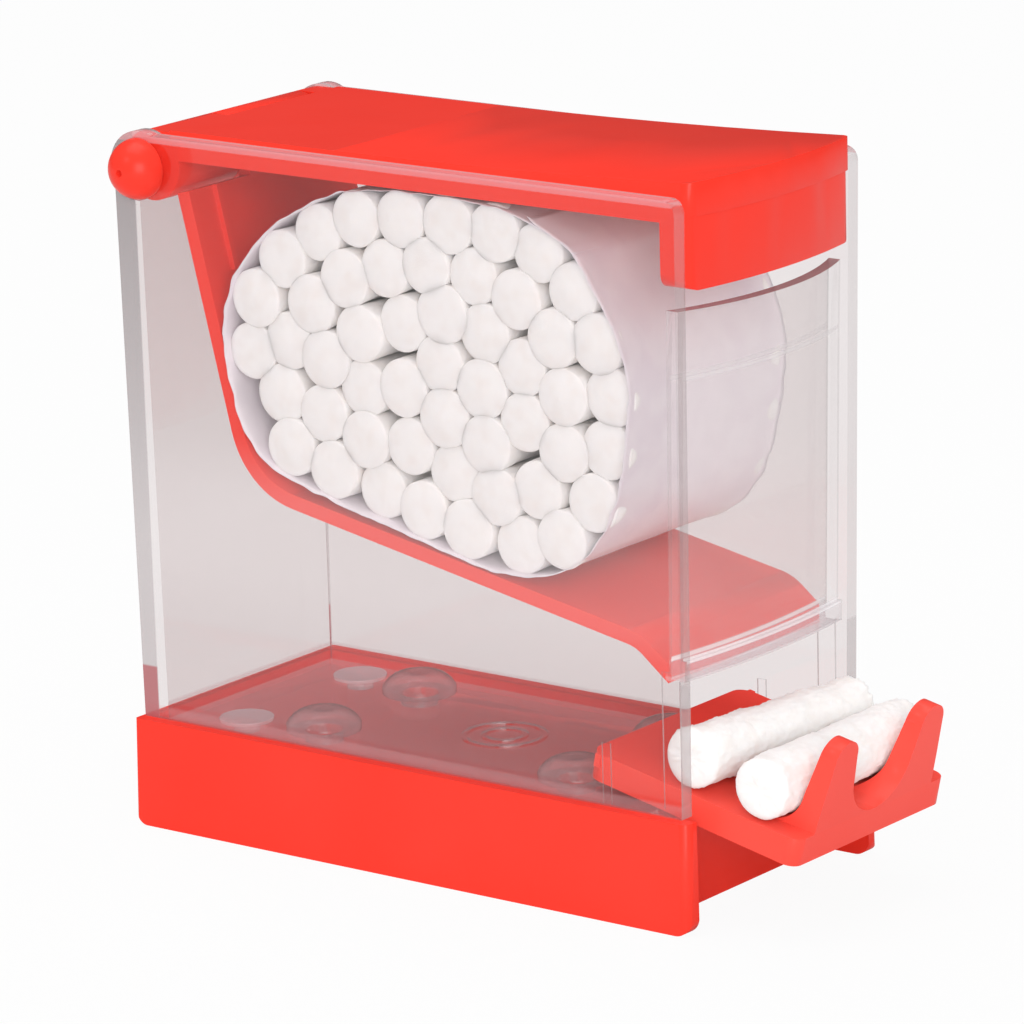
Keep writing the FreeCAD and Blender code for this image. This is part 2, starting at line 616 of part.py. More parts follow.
def rounded_path(points, radii):
    """A wire through points in the XZ plane, with each inner corner rounded."""
    edges = []
    start = points[0]
    for corner, after, radius in zip(points[1:-1], points[2:], radii):
        arriving = (corner - start).normalize()
        leaving = (after - corner).normalize()
        turn = arriving.getAngle(leaving)
        reach = radius * math.tan(turn / 2)
        first = corner - arriving * reach
        last = corner + leaving * reach
        inward = (leaving - arriving).normalize()
        middle = corner + inward * (radius / math.cos(turn / 2) - radius)
        edges.append(Part.makeLine(start, first))
        edges.append(Part.Arc(first, middle, last).toShape())
        start = last
    edges.append(Part.makeLine(start, points[-1]))
    return Part.Wire(edges)


def sheet_solid(path, thickness, low, high):
    """A bent sheet above a path, between two distances along Y."""
    face = path.makeOffset2D(thickness, 0, True, True, False)
    face.translate(FreeCAD.Vector(0, low, 0))
    return face.extrude(FreeCAD.Vector(0, high - low, 0))


def chute_points():
    """Corners of the chute's under face, from the hinge to a little past the lip."""
    names = ("top", "heel", "brow", "lip")
    points = [FreeCAD.Vector(amount(f"chute_{name}_x"), 0, amount(f"chute_{name}_z")) for name in names]
    points[-1] += (points[-1] - points[-2]).normalize() * amount("chute_thickness")
    return points


def make_chute():
    """A bent sheet that hangs on the hinge pin behind and below the pack."""
    points = chute_points()
    path = rounded_path(points, [amount("chute_heel_round"), amount("chute_brow_round")])
    half = amount(CHUTE_HALF)
    thickness = amount("chute_thickness")
    solid = sheet_solid(path, thickness, -half, half)
    beyond = Part.makeBox(
        4 * thickness, 4 * half, points[2].z, FreeCAD.Vector(amount("chute_lip_x"), -2 * half, 0)
    )
    down = (points[1] - points[0]).normalize()
    inward = FreeCAD.Vector(-down.z, 0, down.x) * (thickness + amount("chute_rib_proud"))
    rib_corner = points[0] + FreeCAD.Vector(0, amount("chute_rib_y - chute_rib_width / 2"), 0)
    rib_end = rib_corner + down * amount("chute_rib_length")
    rib_side = Part.makePolygon([rib_corner, rib_end, rib_end + inward, rib_corner + inward, rib_corner])
    rib = Part.Face(rib_side).extrude(FreeCAD.Vector(0, amount("chute_rib_width"), 0))
    along = FreeCAD.Vector(0, 1, 0)
    right = amount("parting_right + knuckle_gap")
    length = amount("parting_left - knuckle_gap") - right
    axis = FreeCAD.Vector(amount("hinge_x"), right, amount("hinge_z"))
    knuckle = Part.makeCylinder(amount("knuckle_radius"), length, axis, along)
    web_low = points[0].z - thickness
    web = Part.makeBox(thickness, length, axis.z - web_low, FreeCAD.Vector(points[0].x, right, web_low))
    bore = Part.makeCylinder(amount("pin_radius + pin_fit"), length, axis, along)
    item = doc.addObject("Part::Feature", "Chute")
    item.Shape = solid.cut(beyond).fuse([rib, knuckle, web]).cut(bore).removeSplitter()
    return finish(item, "chute")


def dome(name, side):
    """Half a ball outside one ear, with a dimple in its top."""
    sign = {"right": "-1", "left": "1"}[side]
    ball = doc.addObject("Part::Sphere", name + "Ball")
    bind(ball, Radius="dome_radius", Angle1="0", Angle2="90")
    turn = FreeCAD.Rotation(FreeCAD.Vector(1, 0, 0), 90 if side == "right" else -90)
    seat = f"{sign} * ({EAR_OUTER} + dome_fit)"
    place(ball, "hinge_x", seat, "hinge_z", turn)
    top = f"({seat} + {sign} * dome_radius)"
    span = sorted([top + f" - {sign} * dimple_depth", top + f" + {sign} * overcut"], key=amount)
    return cut(name, ball, cross_cylinder(name + "Dimple", "hinge_x", span, "hinge_z", "dimple_radius"))


def make_hinge():
    """A pin with one domed end, and the domed cap pressed over its other end."""
    pin_left = f"({EAR_OUTER} + dome_fit + pin_cap_depth)"
    pin_right = f"-{EAR_OUTER} - dome_fit - overcut"
    shaft = cross_cylinder("PinShaft", "hinge_x", (pin_right, pin_left), "hinge_z", "pin_radius")
    finish(fuse("HingePin", dome("PinDome", "right"), shaft), "hinge_pin")
    socket = cross_cylinder(
        "CapSocket", "hinge_x", (EAR_OUTER, f"{pin_left} + pin_fit"), "hinge_z", "pin_radius + pin_fit"
    )
    finish(cut("HingeCap", dome("CapDome", "left"), socket), "hinge_cap")


def make_tray():
    """A shallow tray, open below, with two prongs at its front and stop ears near its rear corners."""
    half = CHUTE_HALF
    plate = box("TrayPlate", ("-tray_length", "0"), (f"-{half}", half), ("-tray_depth", "0"))
    for name, radius, x in (
        ("TrayFrontCorners", "tray_front_round", "0"),
        ("TrayRearCorners", "tray_rear_round", "-tray_length"),
    ):
        plate = rounded(name, plate, radius, *[(x, f"{sign}{half}", "-tray_depth / 2") for sign in ("-", "")])
    hollow = box(
        "TrayHollow",
        ("-tray_length + tray_rear_round", "-tray_front_round"),
        (f"-{half} + tray_wall", f"{half} - tray_wall"),
        ("-tray_depth - overcut", "-tray_plate"),
    )
    ears = box(
        "TrayEars", ("-tray_length + tray_rear_round / 2", "-tray_length + tray_ear_front"),
        (f"-{half} - tray_ear_reach", f"{half} + tray_ear_reach"), ("-tray_plate", "0"),
    )
    shoulder = "prong_height - prong_tip_half"
    silhouette = [
        ("-prong_root", "-tray_plate / 2"),
        ("prong_root", "-tray_plate / 2"),
        ("prong_root - prong_waist / 8", "prong_waist"),
        ("prong_centre + prong_tip_half", shoulder, "prong_tip_half"),
        ("prong_centre - prong_tip_half", shoulder),
        ("prong_centre - prong_waist_half", "prong_waist", "-prong_waist"),
        ("-prong_centre + prong_waist_half", "prong_waist"),
        ("-prong_centre + prong_tip_half", shoulder, "prong_tip_half"),
        ("-prong_centre - prong_tip_half", shoulder),
        ("-prong_root + prong_waist / 8", "prong_waist"),
    ]
    front = outline("ProngFront", silhouette, FACING_X, x="-2 * roll_pitch")
    front = extruded("ProngFronts", front, "3 * roll_pitch")
    ramp = "(roll_radius + ramp_gap)"
    roll_up = "(roll_radius + roll_seat)"
    foot = f"-prong_thickness - {ramp}"
    profile = [
        ("0", "-tray_plate"),
        ("0", "0"),
        ("prong_lean", "prong_height + overcut"),
        ("prong_lean - prong_tip_thickness", "prong_height + overcut"),
        ("-prong_thickness", roll_up, f"-{ROUND_SAG} * {ramp}"),
        (foot, f"{roll_up} - {ramp}"),
        (foot, "-tray_plate"),
    ]
    side = extruded("ProngSides", outline("ProngSide", profile, UPRIGHT), "4 * prong_root", symmetric=True)
    prongs = common("Prongs", front, side)
    tray = fuse("Tray", cut("TrayShell", fuse("TrayBlock", plate, ears), hollow), prongs)
    tilt = FreeCAD.Rotation(FreeCAD.Vector(0, 1, 0), amount("tray_tilt"))
    place(tray, "tray_front_x", "0", "tray_front_z", tilt)
    bind(tray, Placement__Rotation__Angle="tray_tilt")
    return finish(tray, "tray")


def make_tray_rolls():
    """Two loose cotton rolls behind the prongs, the rear one a little askew."""
    nearest = "(prong_thickness + roll_radius + ramp_gap)"
    up = "(roll_radius + roll_seat)"
    tilt = FreeCAD.Rotation(FreeCAD.Vector(0, 1, 0), amount("tray_tilt"))
    for label, behind, turn in (("tray_roll_front", "0", "0"), ("tray_roll_rear", "roll_pitch", "roll_turn")):
        back = f"({nearest} + {behind} + roll_length * sin({turn}))"
        across = f"-roll_length / 2 + roll_length / 2 * (1 - cos({turn}))"
        x = f"tray_front_x - {back} * cos(tray_tilt) + {up} * sin(tray_tilt)"
        z = f"tray_front_z + {back} * sin(tray_tilt) + {up} * cos(tray_tilt)"
        roll = doc.addObject("Part::Cylinder", label + "_core")
        bind(roll, Radius="roll_radius", Height="roll_length")
        askew = FreeCAD.Rotation(FreeCAD.Vector(0, 0, 1), -amount(turn))
        roll = rounded(label + "_ends", roll, "roll_end_round", ("roll_radius", "0", "0"),
                       ("roll_radius", "0", "roll_length"))
        finish(place(roll, x, across, z, tilt * askew * ALONG_Y), label)


def make_suction_cups():
    """Four soft cups whose mushroom heads clamp the clear floor onto the base's deck."""
    head_foot = f"({FLOOR_TOP} + cup_seat)"
    deck_under = "(deck_top - deck_thickness - cup_seat)"
    lip = "(cup_lip_radius - cup_hollow_radius)"
    profile = [
        ("0", "cup_hollow_height"),
        ("cup_crown_radius", "cup_hollow_height"),
        ("cup_hollow_radius", "0"),
        ("cup_lip_radius", "0"),
        ("cup_lip_radius", f"{lip} / 2", "-cup_hollow_height / 2"),
        ("cup_shoulder_radius", "cup_shoulder_height"),
        ("cup_shoulder_radius", deck_under),
        ("cup_neck_radius", deck_under),
        ("cup_neck_radius", head_foot),
        ("cup_head_radius", head_foot),
        ("cup_head_radius", f"{head_foot} + cup_head_height / 3", "cup_head_height / 4"),
        ("cup_crown_radius", f"{FLOOR_TOP} + cup_head_height"),
        ("0", f"{FLOOR_TOP} + cup_head_height"),
    ]
    for spot, (x, y) in CUP_SPOTS.items():
        body = doc.addObject("PartDesign::Body", f"Cup_{spot}")
        section = body.newObject("Sketcher::SketchObject", f"CupSection_{spot}")
        plane = [item for item in body.Origin.OriginFeatures if item.Role == "XZ_Plane"][0]
        section.AttachmentSupport = [(plane, "")]
        section.MapMode = "FlatFace"
        doc.recompute()
        outline(section.Name, profile, sketch=section)
        turned = body.newObject("PartDesign::Revolution", f"CupTurned_{spot}")
        turned.Profile = section
        turned.ReferenceAxis = (section, ["V_Axis"])
        turned.Angle = 360
        finish(place(body, x, y, "0"), f"suction_cup_{spot}")


def make_floor_plugs():
    """Two low round plugs through the rear of the clear floor and the deck."""
    for side, y in PLUG_SPOTS.items():
        head_z = (FLOOR_TOP, f"{FLOOR_TOP} + plug_head_height")
        head = upright_cylinder(f"PlugHead_{side}", "plug_x", y, head_z, "plug_head_radius")
        stem_z = ("deck_top - deck_thickness - plug_tail", f"{FLOOR_TOP} + plug_head_height / 2")
        stem = upright_cylinder(f"PlugStem_{side}", "plug_x", y, stem_z, "plug_stem_radius")
        finish(fuse(f"Plug_{side}", head, stem), f"floor_plug_{side}")


def smooth_loop(points):
    """A smooth closed wire through points in the XZ plane, in four pieces."""
    curve = Part.BSplineCurve()
    curve.interpolate(points, PeriodicFlag=True)
    length = curve.LastParameter - curve.FirstParameter
    stops = [curve.FirstParameter + length * quarter / 4 for quarter in range(5)]
    return Part.Wire([curve.toShape(start, end) for start, end in zip(stops, stops[1:])])


def inset_loop(loop, distance):
    """The same loop, drawn anticlockwise as seen from the right, moved inward by a distance."""
    points = loop.discretize(Number=61)[:-1]
    moved = []
    for number, point in enumerate(points):
        ahead = points[(number + 1) % len(points)] - points[number - 1]
        moved.append(point + FreeCAD.Vector(-ahead.z, 0, ahead.x).normalize() * distance)
    return smooth_loop(moved)


def make_pack():
    """An opened pack of cotton rolls: a film wrapper and the rolls in rows along the chute's floor."""
    points = chute_points()
    along = (points[2] - points[1]).normalize()
    above = FreeCAD.Vector(-along.z, 0, along.x)
    origin = points[1] + above * (amount("chute_thickness") + amount("pack_seat"))
    spots = [origin + along * across + above * up for across, up in PACK_OUTLINE]
    outer = smooth_loop(spots)
    film = amount("wrapper_thickness")
    half = amount("roll_length / 2 + wrapper_overhang")
    half_back = FreeCAD.Vector(0, -half, 0)
    tube = Part.Face(outer).extrude(half_back * -2)
    tube.translate(half_back)
    bore = Part.Face(inset_loop(outer, film)).extrude(half_back * -4)
    bore.translate(half_back * 2)
    wrapper = doc.addObject("Part::Feature", "PackWrapper")
    wrapper.Shape = tube.cut(bore)
    finish(wrapper, "pack_wrapper")
    radius = amount("pack_roll_radius")
    pitch = amount("pack_pitch")
    room = Part.Face(inset_loop(outer, film + radius + amount("pack_inset")))
    rise = pitch * math.sqrt(0.75)
    reach = room.BoundBox.DiagonalLength
    bottom = min((corner.Point - origin).dot(above) for corner in room.Vertexes)
    row = 0
    number = 0
    while number * rise < reach:
        shift = (number % 2) * pitch / 2
        rolls = []
        for step in range(-math.ceil(reach / pitch), math.ceil(reach / pitch)):
            spot = origin + along * (shift + step * pitch) + above * (bottom + number * rise)
            if room.isInside(spot, 1e-3, True):
                roll = doc.addObject("Part::Cylinder", f"PackRoll{row}_{len(rolls)}")
                bind(roll, Radius="pack_roll_radius", Height="roll_length")
                end = spot - FreeCAD.Vector(0, amount("roll_length / 2"), 0)
                roll.Placement = FreeCAD.Placement(end, ALONG_Y)
                rolls.append(roll)
        number += 1
        if rolls:
            row += 1
            group = doc.addObject("Part::Compound", f"PackRow{row}")
            group.Links = rolls
            finish(group, f"pack_rolls_row_{row}")
            print(f"row {row}: {len(rolls)} rolls")


make_base()
make_housing()
make_lid()
make_chute()
make_hinge()
make_tray()
make_tray_rolls()
make_suction_cups()
make_floor_plugs()
make_pack()
doc.recompute()

failed = [item.Label for item in doc.Objects if {"Invalid", "Error"} & set(item.State)]
if failed:
    raise ValueError(f"these objects failed: {failed}")
for item in pieces:
    if item.Shape.isNull() or not item.Shape.isValid() or not item.Shape.Solids:
        raise ValueError(f"{item.Label} has no valid solid")

os.makedirs("parts", exist_ok=True)
for item in pieces:
    item.Shape.exportStep(f"parts/{item.Label}.step")
    print(f"{item.Label}: {len(item.Shape.Solids)} solid(s), {item.Shape.Volume:.0f} mm3")
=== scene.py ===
"""Looks of a clear cotton roll dispenser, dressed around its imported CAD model.

Everything is in metres, in the model's own frame: +X is the front, where the tray comes out, +Z is up,
and the origin is on the base's underside, on its centre line and 52.2 mm in front of its rear edge. Values
in millimetres carry MM.
"""
import logging
import math
from dataclasses import dataclass
from enum import Enum
from typing import Any

import bpy
import numpy as np
from mathutils import Matrix, Vector, noise


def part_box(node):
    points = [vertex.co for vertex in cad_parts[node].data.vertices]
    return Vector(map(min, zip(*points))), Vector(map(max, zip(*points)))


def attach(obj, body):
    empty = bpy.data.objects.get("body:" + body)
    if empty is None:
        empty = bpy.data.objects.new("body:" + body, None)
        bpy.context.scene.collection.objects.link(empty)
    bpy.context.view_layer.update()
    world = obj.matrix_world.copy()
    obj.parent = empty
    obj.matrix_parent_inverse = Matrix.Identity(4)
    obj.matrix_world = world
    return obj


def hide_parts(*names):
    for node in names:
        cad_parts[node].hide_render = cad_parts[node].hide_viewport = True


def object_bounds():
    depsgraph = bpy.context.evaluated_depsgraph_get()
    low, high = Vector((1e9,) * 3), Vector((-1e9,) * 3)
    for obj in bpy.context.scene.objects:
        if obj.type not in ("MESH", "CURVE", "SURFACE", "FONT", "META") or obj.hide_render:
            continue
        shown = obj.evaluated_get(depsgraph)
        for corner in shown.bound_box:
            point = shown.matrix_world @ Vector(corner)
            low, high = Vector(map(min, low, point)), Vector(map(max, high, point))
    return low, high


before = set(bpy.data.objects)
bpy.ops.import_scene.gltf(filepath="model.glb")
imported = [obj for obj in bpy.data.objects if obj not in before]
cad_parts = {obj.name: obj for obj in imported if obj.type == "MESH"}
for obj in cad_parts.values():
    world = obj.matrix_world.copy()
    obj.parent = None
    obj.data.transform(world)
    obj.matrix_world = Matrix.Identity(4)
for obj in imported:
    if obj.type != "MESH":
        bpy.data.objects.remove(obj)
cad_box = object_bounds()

MM = 0.001
# Farther than any part of the object, in millimetres.
FAR = 1000.0
log = logging.getLogger("dispenser")

Point = tuple[float, float, float]
Face = tuple[int, ...]
Socket = bpy.types.NodeSocket


class Body(Enum):
    """The moving bodies that soft pieces ride on."""

    CHUTE = "chute"
    TRAY = "tray"


class Slot(Enum):
    """The record's material slots that soft pieces take their finish from."""

    COTTON = "cotton"
    FILM = "wrapper_film"


def linear(hex_colour: str) -> tuple[float, float, float, float]:
    """Turn an sRGB hex colour into linear values.

    Args:
        hex_colour: A colour such as "#e8352a".

    Returns:
        Red, green, blue and an alpha of 1.
    """
    digits = hex_colour.lstrip("#")
    parts = [int(digits[start:start + 2], 16) / 255 for start in (0, 2, 4)]
    red, green, blue = (c / 12.92 if c <= 0.04045 else ((c + 0.055) / 1.055) ** 2.4 for c in parts)
    return red, green, blue, 1.0


def add_node(
    tree: bpy.types.NodeTree,
    kind: str,
    settings: dict[str | int, Any] | None = None,
    links: dict[str | int, Socket] | None = None,
) -> bpy.types.Node:
    """Add a node with its settings and links.

    Args:
        tree: The node tree to add to.
        kind: The node's type, without its "ShaderNode" prefix.
        settings: Values for the node's own properties, or for its inputs by name or number. "stops" gives a
            colour ramp's two positions, each with its sRGB hex colour.
        links: Output sockets to join to the node's inputs, by the input's name or number.

    Returns:
        The new node.
    """
    node = tree.nodes.new("ShaderNode" + kind)
    for key, value in (settings or {}).items():
        if key == "stops":
            for element, (position, colour) in zip(node.color_ramp.elements, value):
                element.position = position
                element.color = linear(colour)
        elif isinstance(key, str) and hasattr(node, key):
            setattr(node, key, value)
        else:
            node.inputs[key].default_value = value
    for key, source in (links or {}).items():
        tree.links.new(source, node.inputs[key])
    return node


def blank_material(name: str) -> tuple[bpy.types.Material, bpy.types.NodeTree, bpy.types.Node]:
    """Make a material that holds nothing but its output.

    Args:
        name: The material's name.

    Returns:
        The material, its node tree and its output node.
    """
    material = bpy.data.materials.new(name)
    material.use_nodes = True
    tree = material.node_tree
    tree.nodes.clear()
    return material, tree, add_node(tree, "OutputMaterial")


def between(tree: bpy.types.NodeTree, value: Socket, low: float, high: float, soft: float) -> Socket:
    """Return 1 where a value lies between two limits and 0 elsewhere.

    Args:
        tree: The material's node tree.
        value: The value.
        low: Lower limit.
        high: Upper limit.
        soft: How far past a limit the mask fades out.

    Returns:
        The mask.
    """
    away = add_node(tree, "Math", {"operation": "SUBTRACT", 1: (low + high) / 2}, {0: value})
    far = add_node(tree, "Math", {"operation": "ABSOLUTE"}, {0: away.outputs[0]})
    half = (high - low) / 2
    fade = {"From Min": half, "From Max": half + soft, "To Min": 1.0, "To Max": 0.0}
    return add_node(tree, "MapRange", fade, {"Value": far.outputs[0]}).outputs[0]


def product(tree: bpy.types.NodeTree, first: Socket, *others: Socket) -> Socket:
    """Multiply masks.

    Args:
        tree: The material's node tree.
        first: The first mask.
        others: The masks that it is multiplied by.

    Returns:
        Their product.
    """
    for other in others:
        first = add_node(tree, "Math", {"operation": "MULTIPLY"}, {0: first, 1: other}).outputs[0]
    return first


def polished_skin(
    tree: bpy.types.NodeTree, tint: str, roughness: float, ior: float
) -> tuple[Socket, Socket]:
    """Make a clear surface that mirrors more the flatter it is seen, and lets the rest straight through.

    Args:
        tree: The material's node tree.
        tint: The colour that light takes on at each surface that it passes.
        roughness: Roughness of its gloss.
        ior: Index of refraction, which sets how much it mirrors when seen straight on.

    Returns:
        The shader, and how flat the surface is seen, from 0 to 1.
    """
    # A fifth power is close to how a polished face mirrors more the flatter it is seen.
    flatness = add_node(tree, "LayerWeight", {"Blend": 0.5}).outputs["Facing"]
    steep = add_node(tree, "Math", {"operation": "POWER", 1: 5.0}, {0: flatness})
    least = ((ior - 1) / (ior + 1)) ** 2
    mirrored = add_node(tree, "MapRange", {"To Min": least, "To Max": 1.0}, {"Value": steep.outputs[0]})
    through = add_node(tree, "BsdfTransparent", {"Color": linear(tint)})
    gloss = add_node(tree, "BsdfAnisotropic", {"Roughness": roughness})
    skin = add_node(
        tree, "MixShader", links={0: mirrored.outputs[0], 1: through.outputs[0], 2: gloss.outputs[0]}
    )
    return skin.outputs[0], flatness


def open_to_light(tree: bpy.types.NodeTree, clear: Socket) -> Socket:
    """Let light pass a clear shader unweakened, so that what stands behind it is lit as if in the open.

    Args:
        tree: The material's node tree.
        clear: The clear shader.

    Returns:
        The mixed shader.
    """
    path = add_node(tree, "LightPath")
    lit = add_node(tree, "Math", {"operation": "MAXIMUM"},
                   {0: path.outputs["Is Shadow Ray"], 1: path.outputs["Is Diffuse Ray"]})
    free = add_node(tree, "BsdfTransparent", {"Color": linear("#ffffff")})
    mixed = add_node(tree, "MixShader", links={0: lit.outputs[0], 1: clear, 2: free.outputs[0]})
    return mixed.outputs[0]


@dataclass(frozen=True)
class RedMoulding:
    """Injection-moulded ABS, dyed through: an even, saturated orange red with a soft gloss."""

    name: str = "red_abs_injection_moulded"
    colour: str = "#fd3c2d"
    deep_colour: str = "#fa3626"
    bounced_colour: str = "#f2c4bd"
    bounced_share: float = 0.7
    ior: float = 1.5
    specular: float = 0.2
    roughness: float = 0.3
    roughness_spread: float = 0.02
    mottle: float = 30 * MM
    ripple: float = 9 * MM
    ripple_height: float = 0.002 * MM

    def build(self) -> bpy.types.Material:
        """Mix the finish.

        Returns:
            The finished material.
        """
        material, tree, output = blank_material(self.name)
        place = add_node(tree, "TexCoord").outputs["Object"]
        # Slow mottling: cooling leaves the dye a hair deeper in patches of a few centimetres.
        mottle = add_node(tree, "TexNoise", {"Scale": 1 / self.mottle, "Detail": 2.0}, {"Vector": place})
        colour = add_node(tree, "ValToRGB", {"stops": ((0.3, self.deep_colour), (0.7, self.colour))},
                          {"Fac": mottle.outputs["Fac"]})
        # The polished tool leaves a faint ripple, and the gloss is a little duller on its crests.
        ripple = add_node(tree, "TexNoise", {"Scale": 1 / self.ripple, "Detail": 2.0}, {"Vector": place})
        smoothest = self.roughness - self.roughness_spread
        dullest = self.roughness + self.roughness_spread
        rough = add_node(
            tree, "MapRange", {"From Min": 0.3, "From Max": 0.7, "To Min": smoothest, "To Max": dullest},
            {"Value": ripple.outputs["Fac"]},
        )
        bump = add_node(tree, "Bump", {"Strength": 0.5, "Distance": self.ripple_height},
                        {"Height": ripple.outputs["Fac"]})
        # Light that it throws on what lies beside it is kept pale, so that the white cotton stays white.
        path = add_node(tree, "LightPath")
        thrown = add_node(tree, "Math", {"operation": "MULTIPLY", 1: self.bounced_share},
                          {0: path.outputs["Is Diffuse Ray"]})
        shown = add_node(tree, "Mix", {"data_type": "RGBA", 7: linear(self.bounced_colour)},
                         {0: thrown.outputs[0], 6: colour.outputs["Color"]})
        plastic = add_node(
            tree, "BsdfPrincipled", {"IOR": self.ior, "Specular IOR Level": self.specular},
            {"Base Color": shown.outputs[2], "Roughness": rough.outputs[0], "Normal": bump.outputs[0]},
        )
        tree.links.new(plastic.outputs[0], output.inputs["Surface"])
        return material


@dataclass(frozen=True)
class PaintedLight:
    """Painted light over part of a clear surface, as a painted reflection, highlight or shade: its colour and
    how much it covers.
    """

    colour: str
    share: float


@dataclass(frozen=True)
class Span:
    """A stretch along one axis, in millimetres, that fades out past its two limits."""

    low: float
    high: float
    fade: float = 0.1

    def mask(self, tree: bpy.types.NodeTree, along: Socket) -> Socket:
        """Return 1 where a coordinate in metres lies in the stretch, and 0 elsewhere."""
        return between(tree, along, self.low * MM, self.high * MM, self.fade * MM)


